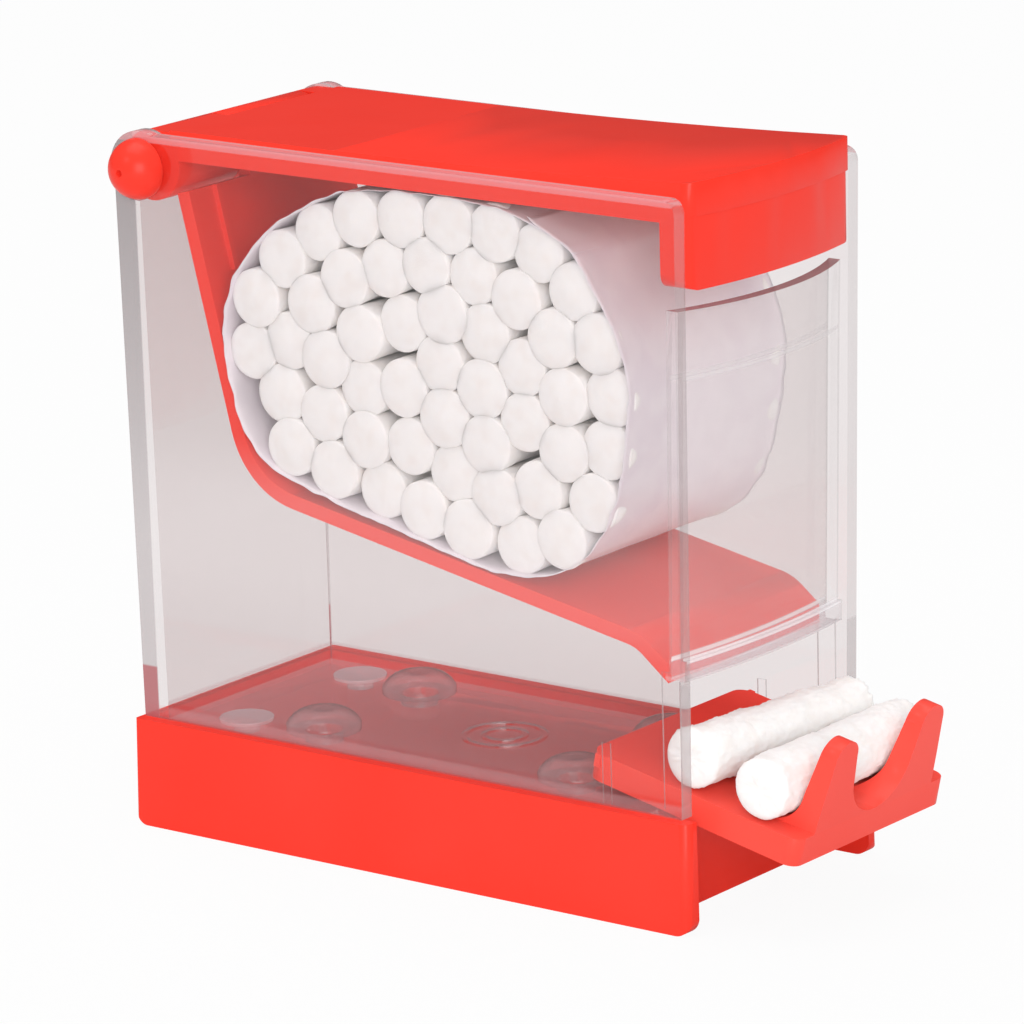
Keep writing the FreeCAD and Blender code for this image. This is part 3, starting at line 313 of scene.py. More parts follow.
@dataclass(frozen=True)
class ClearMoulding:
    """Injection-moulded clear styrene, polished: thin faces show what is behind them with a faint warm grey
    cast. Thick edges, rims and rounds gather light and look grey or take on the red beside them, and that
    light is painted on them as painted reflections, highlights and shades."""

    name: str = "clear_styrene_injection_moulded"
    tint: str = "#f7f4f4"
    ior: float = 1.5
    roughness: float = 0.03
    painted_light_roughness: float = 0.25
    # The least share of a face's normal along an axis that counts as facing that way, less for the front
    # wall, which leans, and a most that no face reaches.
    facing: float = 0.92
    facing_front: float = 0.88
    facing_most: float = 1.1
    facing_fade: float = 0.02
    # A face is a round where its normal's greatest share lies under the first, and flat over the second.
    bent: float = 0.8
    straight: float = 0.88
    # The painted reflections, highlights and shades, each a colour and a share.
    front_painted_veil: PaintedLight = PaintedLight("#f7efef", 0.11)
    side_painted_veil: PaintedLight = PaintedLight("#f7efef", 0.12)
    rear_grey: PaintedLight = PaintedLight("#a39b99", 0.15)
    floor_painted_reflection: PaintedLight = PaintedLight("#dcc3c8", 0.36)
    foot_band: PaintedLight = PaintedLight("#cf9598", 0.3)
    rounds: PaintedLight = PaintedLight("#c9c1c4", 0.35)
    front_end: PaintedLight = PaintedLight("#b5adae", 0.22)
    mouth_end: PaintedLight = PaintedLight("#b5adae", 0.4)
    rear_end: PaintedLight = PaintedLight("#b5adae", 0.62)
    rear_end_shade: PaintedLight = PaintedLight("#6f696b", 0.45)
    rear_end_foot: PaintedLight = PaintedLight("#b0444b", 0.75)
    rim_side: PaintedLight = PaintedLight("#e59da1", 0.5)
    rim_top: PaintedLight = PaintedLight("#e59da1", 0.6)
    rim_line: PaintedLight = PaintedLight("#b5adae", 0.7)
    front_rim: PaintedLight = PaintedLight("#bb7479", 0.8)
    crease: PaintedLight = PaintedLight("#ddd6d7", 0.45)
    bar: PaintedLight = PaintedLight("#cbbfc7", 0.22)
    bar_top: PaintedLight = PaintedLight("#f4f0f2", 0.75)
    bar_bottom: PaintedLight = PaintedLight("#f4f0f2", 0.4)
    # Where they lie from the rear to the front.
    front_wall_x: Span = Span(44.0, FAR)
    front_half_x: Span = Span(0.0, FAR)
    rear_wall_x: Span = Span(-FAR, -40.0)
    rear_ends_x: Span = Span(-FAR, -48.9, 0.3)
    # Where they lie out from the centre line.
    between_walls: Span = Span(0.0, 19.3)
    in_walls: Span = Span(19.3, FAR)
    wall_edge: Span = Span(20.3, 21.0)
    # Where they lie upwards.
    floor_z: Span = Span(15.7, 16.5)
    foot_z: Span = Span(-FAR, 18.4, 0.5)
    rear_foot_z: Span = Span(-FAR, 24.6, 0.3)
    mouth_z: Span = Span(-FAR, 36.4, 0.3)
    bar_z: Span = Span(36.4, 39.4)
    bar_bottom_z: Span = Span(36.15, 36.65, 0.2)
    bar_top_z: Span = Span(39.15, 39.65, 0.2)
    patch_z: Span = Span(43.0, 54.0, 9.0)
    crease_z: Span = Span(80.3, 80.7, 0.25)
    front_rim_z: Span = Span(89.3, 91.3, 1.0)
    high_rim_z: Span = Span(92.3, FAR, 1.0)
    wall_top_z: Span = Span(105.7, FAR, 0.15)
    # Between these heights the rear's painted grey and painted shade grow from nothing to full.
    grey_from_z: float = 45 * MM
    grey_full_z: float = 96 * MM

    def painted_over(self, tree: bpy.types.NodeTree, under: Socket, mask: Socket, painted_light: PaintedLight) -> Socket:
        """Lay painted light over a shader.

        Args:
            tree: The material's node tree.
            under: The shader below.
            mask: Where the painted light lies.
            painted_light: Its colour and how much it covers where the mask is full.

        Returns:
            The mixed shader.
        """
        cloud = add_node(tree, "BsdfPrincipled", {
            "Base Color": linear(painted_light.colour), "Roughness": self.painted_light_roughness, "IOR": self.ior,
        })
        cover = add_node(tree, "Math", {"operation": "MULTIPLY", 1: painted_light.share}, {0: mask})
        mixed = add_node(tree, "MixShader", links={0: cover.outputs[0], 1: under, 2: cloud.outputs[0]})
        return mixed.outputs[0]

    def layers(self, tree: bpy.types.NodeTree) -> list[tuple[PaintedLight, tuple[Socket, ...]]]:
        """Return each painted light with the masks that it lies in, from the lowest to the topmost.

        Args:
            tree: The material's node tree.

        Returns:
            The painted lights and their masks.
        """
        coordinates = add_node(tree, "TexCoord")
        place = add_node(tree, "SeparateXYZ", links={0: coordinates.outputs["Object"]})
        way = add_node(tree, "SeparateXYZ", links={0: coordinates.outputs["Normal"]})
        x, y, z = (place.outputs[axis] for axis in range(3))
        across, aside, upward = (
            add_node(tree, "Math", {"operation": "ABSOLUTE"}, {0: way.outputs[axis]}).outputs[0]
            for axis in range(3)
        )
        off_centre = add_node(tree, "Math", {"operation": "ABSOLUTE"}, {0: y}).outputs[0]
        facing_x = between(tree, across, self.facing_front, self.facing_most, self.facing_fade)
        facing_y = between(tree, aside, self.facing, self.facing_most, self.facing_fade)
        facing_up = between(tree, upward, self.facing, self.facing_most, self.facing_fade)
        upright = add_node(tree, "Math", {"operation": "MAXIMUM"}, {0: facing_x, 1: facing_y}).outputs[0]
        inward = add_node(tree, "NewGeometry").outputs["Backfacing"]
        from_outside = add_node(tree, "Math", {"operation": "SUBTRACT", 0: 1.0}, {1: inward}).outputs[0]
        level = add_node(tree, "Math", {"operation": "MAXIMUM"}, {0: across, 1: aside}).outputs[0]
        straightest = add_node(tree, "Math", {"operation": "MAXIMUM"}, {0: level, 1: upward}).outputs[0]
        fade_out = {"From Min": self.bent, "From Max": self.straight, "To Min": 1.0, "To Max": 0.0}
        bent = add_node(tree, "MapRange", fade_out, {"Value": straightest}).outputs[0]
        higher = add_node(tree, "MapRange", {"From Min": self.grey_from_z, "From Max": self.grey_full_z},
                          {"Value": z}).outputs[0]
        front_wall = product(tree, self.front_wall_x.mask(tree, x), self.between_walls.mask(tree, off_centre))
        front_ends = product(tree, facing_x, self.in_walls.mask(tree, off_centre),
                             self.front_half_x.mask(tree, x))
        rear_ends = product(tree, facing_y, from_outside, self.rear_ends_x.mask(tree, x))
        high_rim = product(tree, facing_up, self.high_rim_z.mask(tree, z))
        return [
            # The front wall's reflection of the bright side of the room is painted on as an even pale veil.
            (self.front_painted_veil, (facing_x, front_wall)),
            # The side walls' reflection of a pale patch of the room is painted on in front of the chute's
            # slope.
            (self.side_painted_veil, (facing_y, from_outside, self.patch_z.mask(tree, z))),
            # Painted grey on the rear wall stands in for the light mirrored inside the sheet, and deepens the
            # higher it is looked through.
            (self.rear_grey, (facing_x, self.rear_wall_x.mask(tree, x), higher)),
            # A painted reflection: a pale pink layer on the floor's top stands in for its sheen over the red
            # deck below it.
            (self.floor_painted_reflection, (facing_up, self.floor_z.mask(tree, z))),
            # Along their foot the walls get a painted reflection of the red rim of the base, paler than it
            # is.
            (self.foot_band, (upright, from_outside, self.foot_z.mask(tree, z))),
            # Rounds and broken edges bend light away, and this is painted on them as soft grey lines.
            (self.rounds, (bent,)),
            # From outside, the thick ends of the side walls are painted grey for the light bent inside them,
            # half opaque beside the mouth, and the rear ends get a painted shade that deepens upwards.
            (self.front_end, (front_ends,)),
            (self.mouth_end, (front_ends, self.mouth_z.mask(tree, z))),
            (self.rear_end, (rear_ends,)),
            (self.rear_end_shade, (rear_ends, higher)),
            # At the foot of the rear ends a painted reflection of the red base lies in the wall's thickness.
            (self.rear_end_foot, (rear_ends, self.rear_foot_z.mask(tree, z))),
            # The side walls' rims get a painted reflection of the red of the lid, and so does the front
            # wall's rim, and a painted grey line draws the side rims' inner edge.
            (self.rim_side, (facing_y, self.wall_top_z.mask(tree, z))),
            (self.rim_top, (high_rim,)),
            (self.rim_line, (high_rim, self.wall_edge.mask(tree, off_centre))),
            (self.front_rim, (facing_up, self.front_rim_z.mask(tree, z))),
            # The front wall's crease gets a painted pale highlight line, and so do the edges of the bar along
            # its mouth, while the bar itself is painted a little grey.
            (self.crease, (front_wall, self.crease_z.mask(tree, z))),
            (self.bar, (front_wall, self.bar_z.mask(tree, z))),
            (self.bar_top, (front_wall, self.bar_top_z.mask(tree, z))),
            (self.bar_bottom, (front_wall, self.bar_bottom_z.mask(tree, z))),
        ]

    def build(self) -> bpy.types.Material:
        """Mix the finish.

        Returns:
            The finished material.
        """
        material, tree, output = blank_material(self.name)
        shader, _ = polished_skin(tree, self.tint, self.roughness, self.ior)
        for painted_light, masks in self.layers(tree):
            shader = self.painted_over(tree, shader, product(tree, *masks), painted_light)
        tree.links.new(open_to_light(tree, shader), output.inputs["Surface"])
        return material


@dataclass(frozen=True)
class SoftVinyl:
    """Cast clear vinyl: soft, slightly milky and pinkish, with broad greasy highlights, and with painted
    shade that darkens its rims.
    """

    name: str = "clear_vinyl_cast"
    tint: str = "#f3e4e5"
    milk: str = "#e6cdd0"
    # The rim colour is painted shade, for the light that the vinyl bends away where it is seen edge on.
    rim: str = "#94787c"
    milk_share: float = 0.16
    painted_rim_share: float = 0.6
    ior: float = 1.53
    roughness: float = 0.04
    ripple: float = 2.5 * MM
    ripple_height: float = 0.06 * MM

    def build(self) -> bpy.types.Material:
        """Mix the finish.

        Returns:
            The finished material.
        """
        material, tree, output = blank_material(self.name)
        place = add_node(tree, "TexCoord").outputs["Object"]
        ripple = add_node(tree, "TexNoise", {"Scale": 1 / self.ripple, "Detail": 2.0}, {"Vector": place})
        bump = add_node(tree, "Bump", {"Strength": 0.6, "Distance": self.ripple_height},
                        {"Height": ripple.outputs["Fac"]})
        skin, flatness = polished_skin(tree, self.tint, self.roughness, self.ior)
        # The body scatters a little light, most of it where the wall is seen edge on, and there it takes the
        # darker rim colour as painted shade.
        colour = add_node(tree, "ValToRGB", {"stops": ((0.45, self.milk), (0.9, self.rim))},
                          {"Fac": flatness})
        body = add_node(tree, "BsdfPrincipled", {"Roughness": 0.12, "IOR": self.ior},
                        {"Base Color": colour.outputs["Color"], "Normal": bump.outputs[0]})
        cloud = add_node(tree, "MapRange", {
            "From Min": 0.3, "From Max": 0.95, "To Min": self.milk_share, "To Max": self.painted_rim_share,
        }, {"Value": flatness})
        mixed = add_node(tree, "MixShader", links={0: cloud.outputs[0], 1: skin, 2: body.outputs[0]})
        shader = open_to_light(tree, mixed.outputs[0])
        tree.links.new(shader, output.inputs["Surface"])
        return material


@dataclass(frozen=True)
class WoundCotton:
    """Wound cotton wadding: matt warm white, with a felted nap of short fibres and no gloss at all."""

    name: str = "cotton_wound_wadding"
    colour: str = "#fcfaf8"
    painted_hollow_shade: str = "#f8f3f0"
    sheen: float = 0.15
    glow_through: float = 0.35
    glow_reach: float = 2.0 * MM
    fibre: float = 0.4 * MM
    fibre_height: float = 0.07 * MM
    tuft: float = 2.6 * MM
    tuft_height: float = 0.14 * MM

    def build(self) -> bpy.types.Material:
        """Mix the finish.

        Returns:
            The finished material.
        """
        material, tree, output = blank_material(self.name)
        place = add_node(tree, "TexCoord").outputs["Object"]
        # Single fibres are too fine to show, so the nap is drawn in strands of about half a millimetre.
        fibre = add_node(tree, "TexNoise", {"Scale": 1 / self.fibre, "Detail": 4.0, "Distortion": 1.2},
                         {"Vector": place})
        tuft = add_node(tree, "TexNoise", {"Scale": 1 / self.tuft, "Detail": 3.0}, {"Vector": place})
        # Where the tufts sink into hollows the colour is a shade darker, as painted shade.
        colour = add_node(tree, "ValToRGB", {"stops": ((0.3, self.painted_hollow_shade), (0.55, self.colour))},
                          {"Fac": tuft.outputs["Fac"]})
        tufts = add_node(tree, "Bump", {"Strength": 0.6, "Distance": self.tuft_height},
                         {"Height": tuft.outputs["Fac"]})
        nap = add_node(tree, "Bump", {"Strength": 0.5, "Distance": self.fibre_height},
                       {"Height": fibre.outputs["Fac"], "Normal": tufts.outputs[0]})
        cotton = add_node(
            tree, "BsdfPrincipled",
            {
                "Roughness": 1.0, "Specular IOR Level": 0.1,
                "Sheen Weight": self.sheen, "Sheen Roughness": 0.6,
                "Subsurface Weight": self.glow_through, "Subsurface Radius": (1.0, 0.92, 0.85),
                "Subsurface Scale": self.glow_reach,
            },
            {"Base Color": colour.outputs["Color"], "Normal": nap.outputs[0]},
        )
        tree.links.new(cotton.outputs[0], output.inputs["Surface"])
        return material


@dataclass(frozen=True)
class WrapperFilm:
    """Blown polythene film, milky lilac white: thin, soft and satin, with light showing through a little."""

    name: str = "polythene_film_blown"
    colour: str = "#fbf5fa"
    painted_fold_shade: str = "#f6eef5"
    roughness: float = 0.42
    through: float = 0.12
    crease: float = 6 * MM
    crease_height: float = 0.12 * MM

    def build(self) -> bpy.types.Material:
        """Mix the finish.

        Returns:
            The finished material.
        """
        material, tree, output = blank_material(self.name)
        place = add_node(tree, "TexCoord").outputs["Object"]
        crease = add_node(tree, "TexNoise", {"Scale": 1 / self.crease, "Detail": 3.0, "Distortion": 0.8},
                          {"Vector": place})
        # Where the film sinks into its folds the colour is a shade darker, as painted shade.
        colour = add_node(tree, "ValToRGB", {"stops": ((0.35, self.painted_fold_shade), (0.6, self.colour))},
                          {"Fac": crease.outputs["Fac"]})
        bump = add_node(tree, "Bump", {"Strength": 0.5, "Distance": self.crease_height},
                        {"Height": crease.outputs["Fac"]})
        skin = add_node(
            tree, "BsdfPrincipled", {"Roughness": self.roughness, "IOR": 1.5},
            {"Base Color": colour.outputs["Color"], "Normal": bump.outputs[0]},
        )
        glow = add_node(tree, "BsdfTranslucent",
                        links={"Color": colour.outputs["Color"], "Normal": bump.outputs[0]})
        mixed = add_node(tree, "MixShader", {0: self.through}, {1: skin.outputs[0], 2: glow.outputs[0]})
        tree.links.new(mixed.outputs[0], output.inputs["Surface"])
        return material


def make_piece(
    name: str, points: list[Point], faces: list[Face], material: bpy.types.Material
) -> bpy.types.Object:
    """Make a smooth-shaded mesh piece.

    Args:
        name: The piece's name.
        points: Its vertices, in metres.
        faces: Its faces, as vertex numbers.
        material: Its finish.

    Returns:
        The new object.
    """
    mesh = bpy.data.meshes.new(name)
    mesh.from_pydata(points, [], faces)
    mesh.validate()
    mesh.polygons.foreach_set("use_smooth", [True] * len(mesh.polygons))
    mesh.materials.append(material)
    piece = bpy.data.objects.new(name, mesh)
    bpy.context.scene.collection.objects.link(piece)
    return piece


def smooth_loop(corners: list[tuple[float, float]], count: int, fineness: int = 24) -> np.ndarray:
    """Draw a smooth closed loop through corners, in evenly spaced points.

    Args:
        corners: Corners of the loop, in order.
        count: How many points to return.
        fineness: How many short steps lead from one corner to the next.

    Returns:
        An array of points, one row each.
    """
    spots = np.array(corners)
    steps = np.linspace(0, 1, fineness, endpoint=False)[:, None]
    runs = []
    for number in range(len(spots)):
        before, start, end, after = (spots[(number + k) % len(spots)] for k in (-1, 0, 1, 2))
        runs.append(0.5 * (
            2 * start + (end - before) * steps
            + (2 * before - 5 * start + 4 * end - after) * steps**2
            + (3 * start - before - 3 * end + after) * steps**3
        ))
    fine = np.concatenate(runs)
    closed = np.vstack([fine, fine[:1]])
    reach = np.concatenate([[0], np.cumsum(np.linalg.norm(np.diff(closed, axis=0), axis=1))])
    wanted = np.linspace(0, reach[-1], count, endpoint=False)
    return np.column_stack([np.interp(wanted, reach, closed[:, axis]) for axis in (0, 1)])


def outward(loop: np.ndarray) -> np.ndarray:
    """Find which way is out at each point of a loop.

    Args:
        loop: Points of the loop, anticlockwise.

    Returns:
        The unit normals, one row each.
    """
    ahead = np.roll(loop, -1, axis=0) - np.roll(loop, 1, axis=0)
    normals = np.column_stack([ahead[:, 1], -ahead[:, 0]])
    return normals / np.linalg.norm(normals, axis=1)[:, None]


@dataclass
class RollShape:
    """A cotton roll lying along Y about its middle, with softly rounded ends and a lumpy skin."""

    length: float
    end_round: float
    end_power: float
    lump_size: float = 3.5 * MM
    lump_height: float = 0.12 * MM
    nap_size: float = 0.6 * MM
    nap_height: float = 0.0
    steps: int = 10
    # How far from its ends the roll takes on their radius, and how wide the dimple is, as a share of it.
    spread_reach: float = 3 * MM
    dimple_reach: float = 0.4

    def rings(self) -> list[tuple[float, float]]:
        """Lay out the rings of one rounded end, from its middle outwards.

        Returns:
            Each ring's share of the radius and its distance from the end.
        """
        shares = (0.22, 0.45, 0.65, 0.8, 0.89, 0.95, 0.985, 1.0)
        drops = [self.end_round * (1 - (1 - s**self.end_power) ** (1 / self.end_power)) for s in shares]
        return list(zip(shares, drops))

    def mesh(
        self, radii: np.ndarray, end_radius: float, dimple: float, seed: float, place: Matrix
    ) -> tuple[list[Point], list[Face]]:
        """Return one roll's points and faces.

        Args:
            radii: Radius in each direction round the roll, starting towards +X and going up.
            end_radius: Radius that the roll takes on towards its ends, all round.
            dimple: Depth of the dimple in the middle of each end.
            seed: Moves the lumps, so that no two rolls are alike.
            place: Moves the roll from the origin to where it lies.

        Returns:
            The points and the faces.
        """
        half = self.length / 2
        end = self.rings()
        straight = self.length - 2 * self.end_round
        middle = [(1.0, self.end_round + straight * step / self.steps) for step in range(1, self.steps)]
        stations = end + middle + [(share, self.length - drop) for share, drop in reversed(end)]
        angles = np.linspace(0, 2 * math.pi, len(radii), endpoint=False)
        around = len(radii)
        spots: list[Vector] = []
        for share, reach in stations:
            sign = 1 if reach < half else -1
            y = reach - half + sign * dimple * math.exp(-((share / self.dimple_reach) ** 2))
            spread = math.exp(-((min(reach, self.length - reach) / self.spread_reach) ** 2))
            for angle, radius in zip(angles, radii):
                side, up = math.cos(angle), math.sin(angle)
                wide = (radius + (end_radius - radius) * spread) * share
                at = Vector((side * wide, y, up * wide))
                grow = noise.noise(at / self.lump_size + Vector((seed, 0, seed))) * self.lump_height
                grow += noise.noise(at / self.nap_size + Vector((0, seed, 0))) * self.nap_height
                lengthwise = grow if share < 1 else 0.0
                spots.append(at + Vector((side * grow * share, lengthwise, up * grow * share)))
        faces: list[Face] = []
        for ring in range(len(stations) - 1):
            low, high = ring * around, (ring + 1) * around
            for step in range(around):
                ahead = (step + 1) % around
                faces.append((low + step, low + ahead, high + ahead, high + step))
        for ring, sign in ((0, 1), (len(stations) - 1, -1)):
            spots.append(Vector((0.0, sign * (dimple - half), 0.0)))
            hub, low = len(spots) - 1, ring * around
            for step in range(around):
                ahead = (step + 1) % around
                faces.append((hub, low + ahead, low + step) if sign > 0 else (hub, low + step, low + ahead))
        return [tuple(place @ spot) for spot in spots], faces


@dataclass
class CottonPack:
    """An opened pack on the chute: rolls pressed together, with the film round them."""

    roll_length: float = 38 * MM
    # The radius of a roll that nothing presses, and how near its middle comes to the next one's and the film.
    free_radius: float = 4.62 * MM
    spacing: float = 8.55 * MM
    rim: float = 4.05 * MM
    deepest: float = 0.8 * MM
    settling_rounds: int = 150
    push_share: float = 0.25
    press_gap: float = 0.05 * MM
    # The higher it is, the flatter the rolls press on each other.
    firmness: float = 9.0
    least_slant: float = 0.05
    draw_seed: int = 11
    # Ranges that each roll draws from: how far its ends lie back, as a share of the deepest, and in
    # millimetres its ends' rounding, dimple and radius.
    set_back: tuple[float, float] = (-0.1, 1.0)
    end_round: tuple[float, float] = (0.5, 0.85)
    dimple: tuple[float, float] = (-0.3, 0.1)
    end_radius: tuple[float, float] = (4.25, 4.55)
    lump_seed: tuple[float, float] = (0.0, 50.0)
    end_power: float = 2.2
    film_gap: float = 0.25 * MM
    # How far the film reaches to each side of the centre line.
    film_reach: float = 19.55 * MM
    film_thickness: float = 0.06 * MM
    # Its free end laps over its start: it steps up within the ramp and lifts off towards its edge.
    overlap: float = 9 * MM
    lap_step: float = 0.14 * MM
    lap_ramp: float = 1 * MM
    lap_lift: float = 0.5 * MM
    # Broad waves and small ripples, with their sizes round the pack and across it.
    wave_size: tuple[float, float] = (9 * MM, 16 * MM)
    wave_height: float = 0.22 * MM
    ripple_size: tuple[float, float] = (3.5 * MM, 9 * MM)
    ripple_height: float = 0.08 * MM
    # Its open edges flare and frill, and sway in and out.
    edge_width: float = 2.05 * MM
    edge_lift: float = 0.15 * MM
    frill_size: float = 2.6 * MM
    frill_height: float = 0.35 * MM
    sway_size: float = 5 * MM
    sway: float = 0.25 * MM
    around: int = 44
    film_columns: int = 260
    film_rows: int = 48
    line_points: int = 240
    # The film's line seen from the right, in millimetres along X and up.
    line: tuple[tuple[float, float], ...] = (
        (29.3, 96.3), (24.2, 98.9), (15.4, 101.6), (1.0, 102.1), (-11.9, 101.0), (-21.0, 97.2), (-27.8, 92.3),
        (-33.2, 85.4), (-35.3, 77.3), (-34.2, 69.7), (-31.6, 62.7), (-26.5, 58.0), (-14.0, 54.2),
        (0.0, 50.9), (13.0, 48.2), (22.0, 48.3), (30.5, 52.6), (36.0, 61.6), (38.4, 76.5),
        (36.9, 84.0), (33.4, 90.3), (30.3, 95.0),
    )
    # Where the rolls' near ends lie, in the same millimetres.
    seats: tuple[tuple[float, float], ...] = (
        (-10.6, 98.3), (-1.2, 99.0), (11.8, 99.4), (21.2, 96.3), (5.8, 97.3), (-21.4, 93.9), (-13.9, 94.0),
        (-5.7, 92.2), (2.6, 92.1), (12.5, 91.3), (-27.8, 86.2), (-19.3, 85.6), (-10.6, 85.4), (3.3, 88.5),
        (29.4, 91.4), (20.0, 87.5), (-30.6, 78.2), (-22.1, 79.2), (-2.0, 82.7), (11.3, 84.7), (-9.9, 78.1),
        (33.9, 83.3), (25.3, 84.4), (18.4, 80.7), (-25.2, 71.3), (-16.6, 74.3), (-1.2, 75.0), (7.5, 77.6),
        (24.6, 78.5), (-9.4, 69.5), (14.9, 72.9), (32.8, 74.7), (24.1, 74.1), (-26.6, 62.8), (-17.9, 65.8),
        (-0.2, 67.0), (8.6, 68.4), (17.5, 64.4), (26.9, 66.4), (34.0, 67.3), (-17.3, 57.6), (-8.2, 61.8),
        (-8.1, 55.5), (0.2, 53.9), (9.1, 60.3), (17.7, 59.2), (24.0, 60.1), (32.0, 59.7), (8.4, 51.7),
        (17.4, 50.0), (26.1, 52.5),
    )

    def settled(self, loop: np.ndarray) -> np.ndarray:
        """Push the rolls apart and inside the film until they rest.

        Args:
            loop: Points of the film's line, anticlockwise.

        Returns:
            The rolls' middles, one row each.
        """
        places = np.array(self.seats) * MM
        normals = outward(loop)
        for _ in range(self.settling_rounds):
            gaps = places[:, None] - places[None]
            distances = np.linalg.norm(gaps, axis=2) + np.eye(len(places))
            pushes = np.clip(self.spacing - distances, 0, None) / distances * (1 - np.eye(len(places)))
            places += self.push_share * (gaps * pushes[..., None]).sum(axis=1)
            heights = ((loop[None] - places[:, None]) * normals[None]).sum(axis=2)
            nearest = heights.argmin(axis=1)
            short = np.clip(self.rim - heights.min(axis=1), 0, None)
            places -= normals[nearest] * short[:, None]
        return places

    def pressed_radii(self, places: np.ndarray, loop: np.ndarray) -> np.ndarray:
        """Return each roll's radius in each direction, flattened where a neighbour or the film presses.

        Args:
            places: The rolls' middles.
            loop: Points of the film's line.

        Returns:
            An array with one row for each roll.
        """
        angles = np.linspace(0, 2 * math.pi, self.around, endpoint=False)
        ways = np.column_stack([np.cos(angles), np.sin(angles)])
        normals = outward(loop)
        rows = []
        for number, place in enumerate(places):
            gaps = np.delete(places, number, axis=0) - place
            distances = np.linalg.norm(gaps, axis=1)
            slants = np.clip(ways @ (gaps / distances[:, None]).T, self.least_slant, None)
            limits = (distances / 2 - self.press_gap)[None] / slants
            heights = ((loop - place) * normals).sum(axis=1) - self.film_gap
            films = (heights[None] / np.clip(ways @ normals.T, self.least_slant, None)).min(axis=1)
            strain = (limits**-self.firmness).sum(axis=1) + films**-self.firmness
            strain += self.free_radius**-self.firmness
            rows.append(strain ** (-1 / self.firmness))
        return np.array(rows)

    def build_rolls(
        self, places: np.ndarray, loop: np.ndarray, cotton: bpy.types.Material
    ) -> bpy.types.Object:
        """Build the pressed rolls as one piece.

        Args:
            places: The rolls' middles.
            loop: Points of the film's line.
            cotton: Their finish.

        Returns:
            The piece.
        """
        draw = np.random.default_rng(self.draw_seed)
        points: list[Point] = []
        faces: list[Face] = []
        for (x, z), radii in zip(places, self.pressed_radii(places, loop)):
            near, far = (float(draw.uniform(*self.set_back)) * self.deepest for _ in range(2))
            end_round = float(draw.uniform(*self.end_round)) * MM
            shape = RollShape(self.roll_length - near - far, end_round, self.end_power)
            spot = Matrix.Translation((x, (near - far) / 2, z))
            dimple = float(draw.uniform(*self.dimple)) * MM
            end_radius = float(draw.uniform(*self.end_radius)) * MM
            seed = float(draw.uniform(*self.lump_seed))
            new_points, new_faces = shape.mesh(radii, end_radius, dimple, seed, spot)
            faces += [tuple(len(points) + corner for corner in face) for face in new_faces]
            points += new_points
        piece = make_piece("packed_cotton_rolls", points, faces, cotton)
        rows = sorted(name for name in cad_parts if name.startswith("pack_rolls_row_"))
        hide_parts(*rows)
        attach(piece, Body.CHUTE.value)
        return piece

    def build_film(self, loop: np.ndarray, film: bpy.types.Material) -> bpy.types.Object:
        """Build the film: one strip round the rolls, whose free end laps over its start.

        Args:
            loop: Points of the film's line, anticlockwise.
            film: Its finish.

        Returns:
            The piece.
        """
        normals = outward(loop)
        round_it = float(np.linalg.norm(np.diff(np.vstack([loop, loop[:1]]), axis=0), axis=1).sum())
        strip = round_it + self.overlap
        points: list[Point] = []
        for column in range(self.film_columns):
            along = strip * column / (self.film_columns - 1)
            share = along / round_it * len(loop)
            first = int(share) % len(loop)
            blend = share - int(share)
            spot = loop[first] * (1 - blend) + loop[(first + 1) % len(loop)] * blend
            way = normals[first] * (1 - blend) + normals[(first + 1) % len(loop)] * blend
            lapped = max(0.0, along - round_it)
            lift = self.lap_step * min(1.0, lapped / self.lap_ramp)
            lift += self.lap_lift * (lapped / self.overlap) ** 3
            # The last numbers of the noise points only keep the patterns apart.
            frill = noise.noise(Vector((along / self.frill_size, 1.0, 5.0)))
            sway = noise.noise(Vector((along / self.sway_size, 2.0, 1.0)))
            for row in range(self.film_rows):
                y = self.film_reach * (2 * row / (self.film_rows - 1) - 1)
                edge = max(0.0, abs(y) - (self.film_reach - self.edge_width)) / self.edge_width
                wave = noise.noise(Vector((along / self.wave_size[0], y / self.wave_size[1], 3.0)))
                ripple = noise.noise(Vector((along / self.ripple_size[0], y / self.ripple_size[1], 8.0)))
                out = lift + self.wave_height * wave + self.ripple_height * ripple
                out += edge**2 * (self.edge_lift + self.frill_height * frill)
                spread = self.sway * edge**2 * sway
                points.append((
                    spot[0] + way[0] * out, y + math.copysign(spread, y), spot[1] + way[1] * out,
                ))
        faces = [
            (c * self.film_rows + r, c * self.film_rows + r + 1,
             (c + 1) * self.film_rows + r + 1, (c + 1) * self.film_rows + r)
            for c in range(self.film_columns - 1) for r in range(self.film_rows - 1)
        ]
        piece = make_piece("wrapper_film", points, faces, film)
        thick = piece.modifiers.new("film_thickness", "SOLIDIFY")
        thick.thickness = self.film_thickness
        thick.offset = 0.0
        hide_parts("pack_wrapper")
        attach(piece, Body.CHUTE.value)
        return piece

    def build(self, cotton: bpy.types.Material, film: bpy.types.Material) -> None:
        """Build the rolls and their film, and report them.

        Args:
            cotton: The rolls' finish.
            film: The film's finish.
        """
        corners = [(x * MM, z * MM) for x, z in self.line]
        loop = smooth_loop(corners, self.line_points)
        places = self.settled(loop)
        rolls = self.build_rolls(places, loop, cotton)
        log.info("%s: %d rolls, %d faces", rolls.name, len(places), len(rolls.data.polygons))
        wrapper = self.build_film(loop, film)
        log.info("%s: %d faces", wrapper.name, len(wrapper.data.polygons))


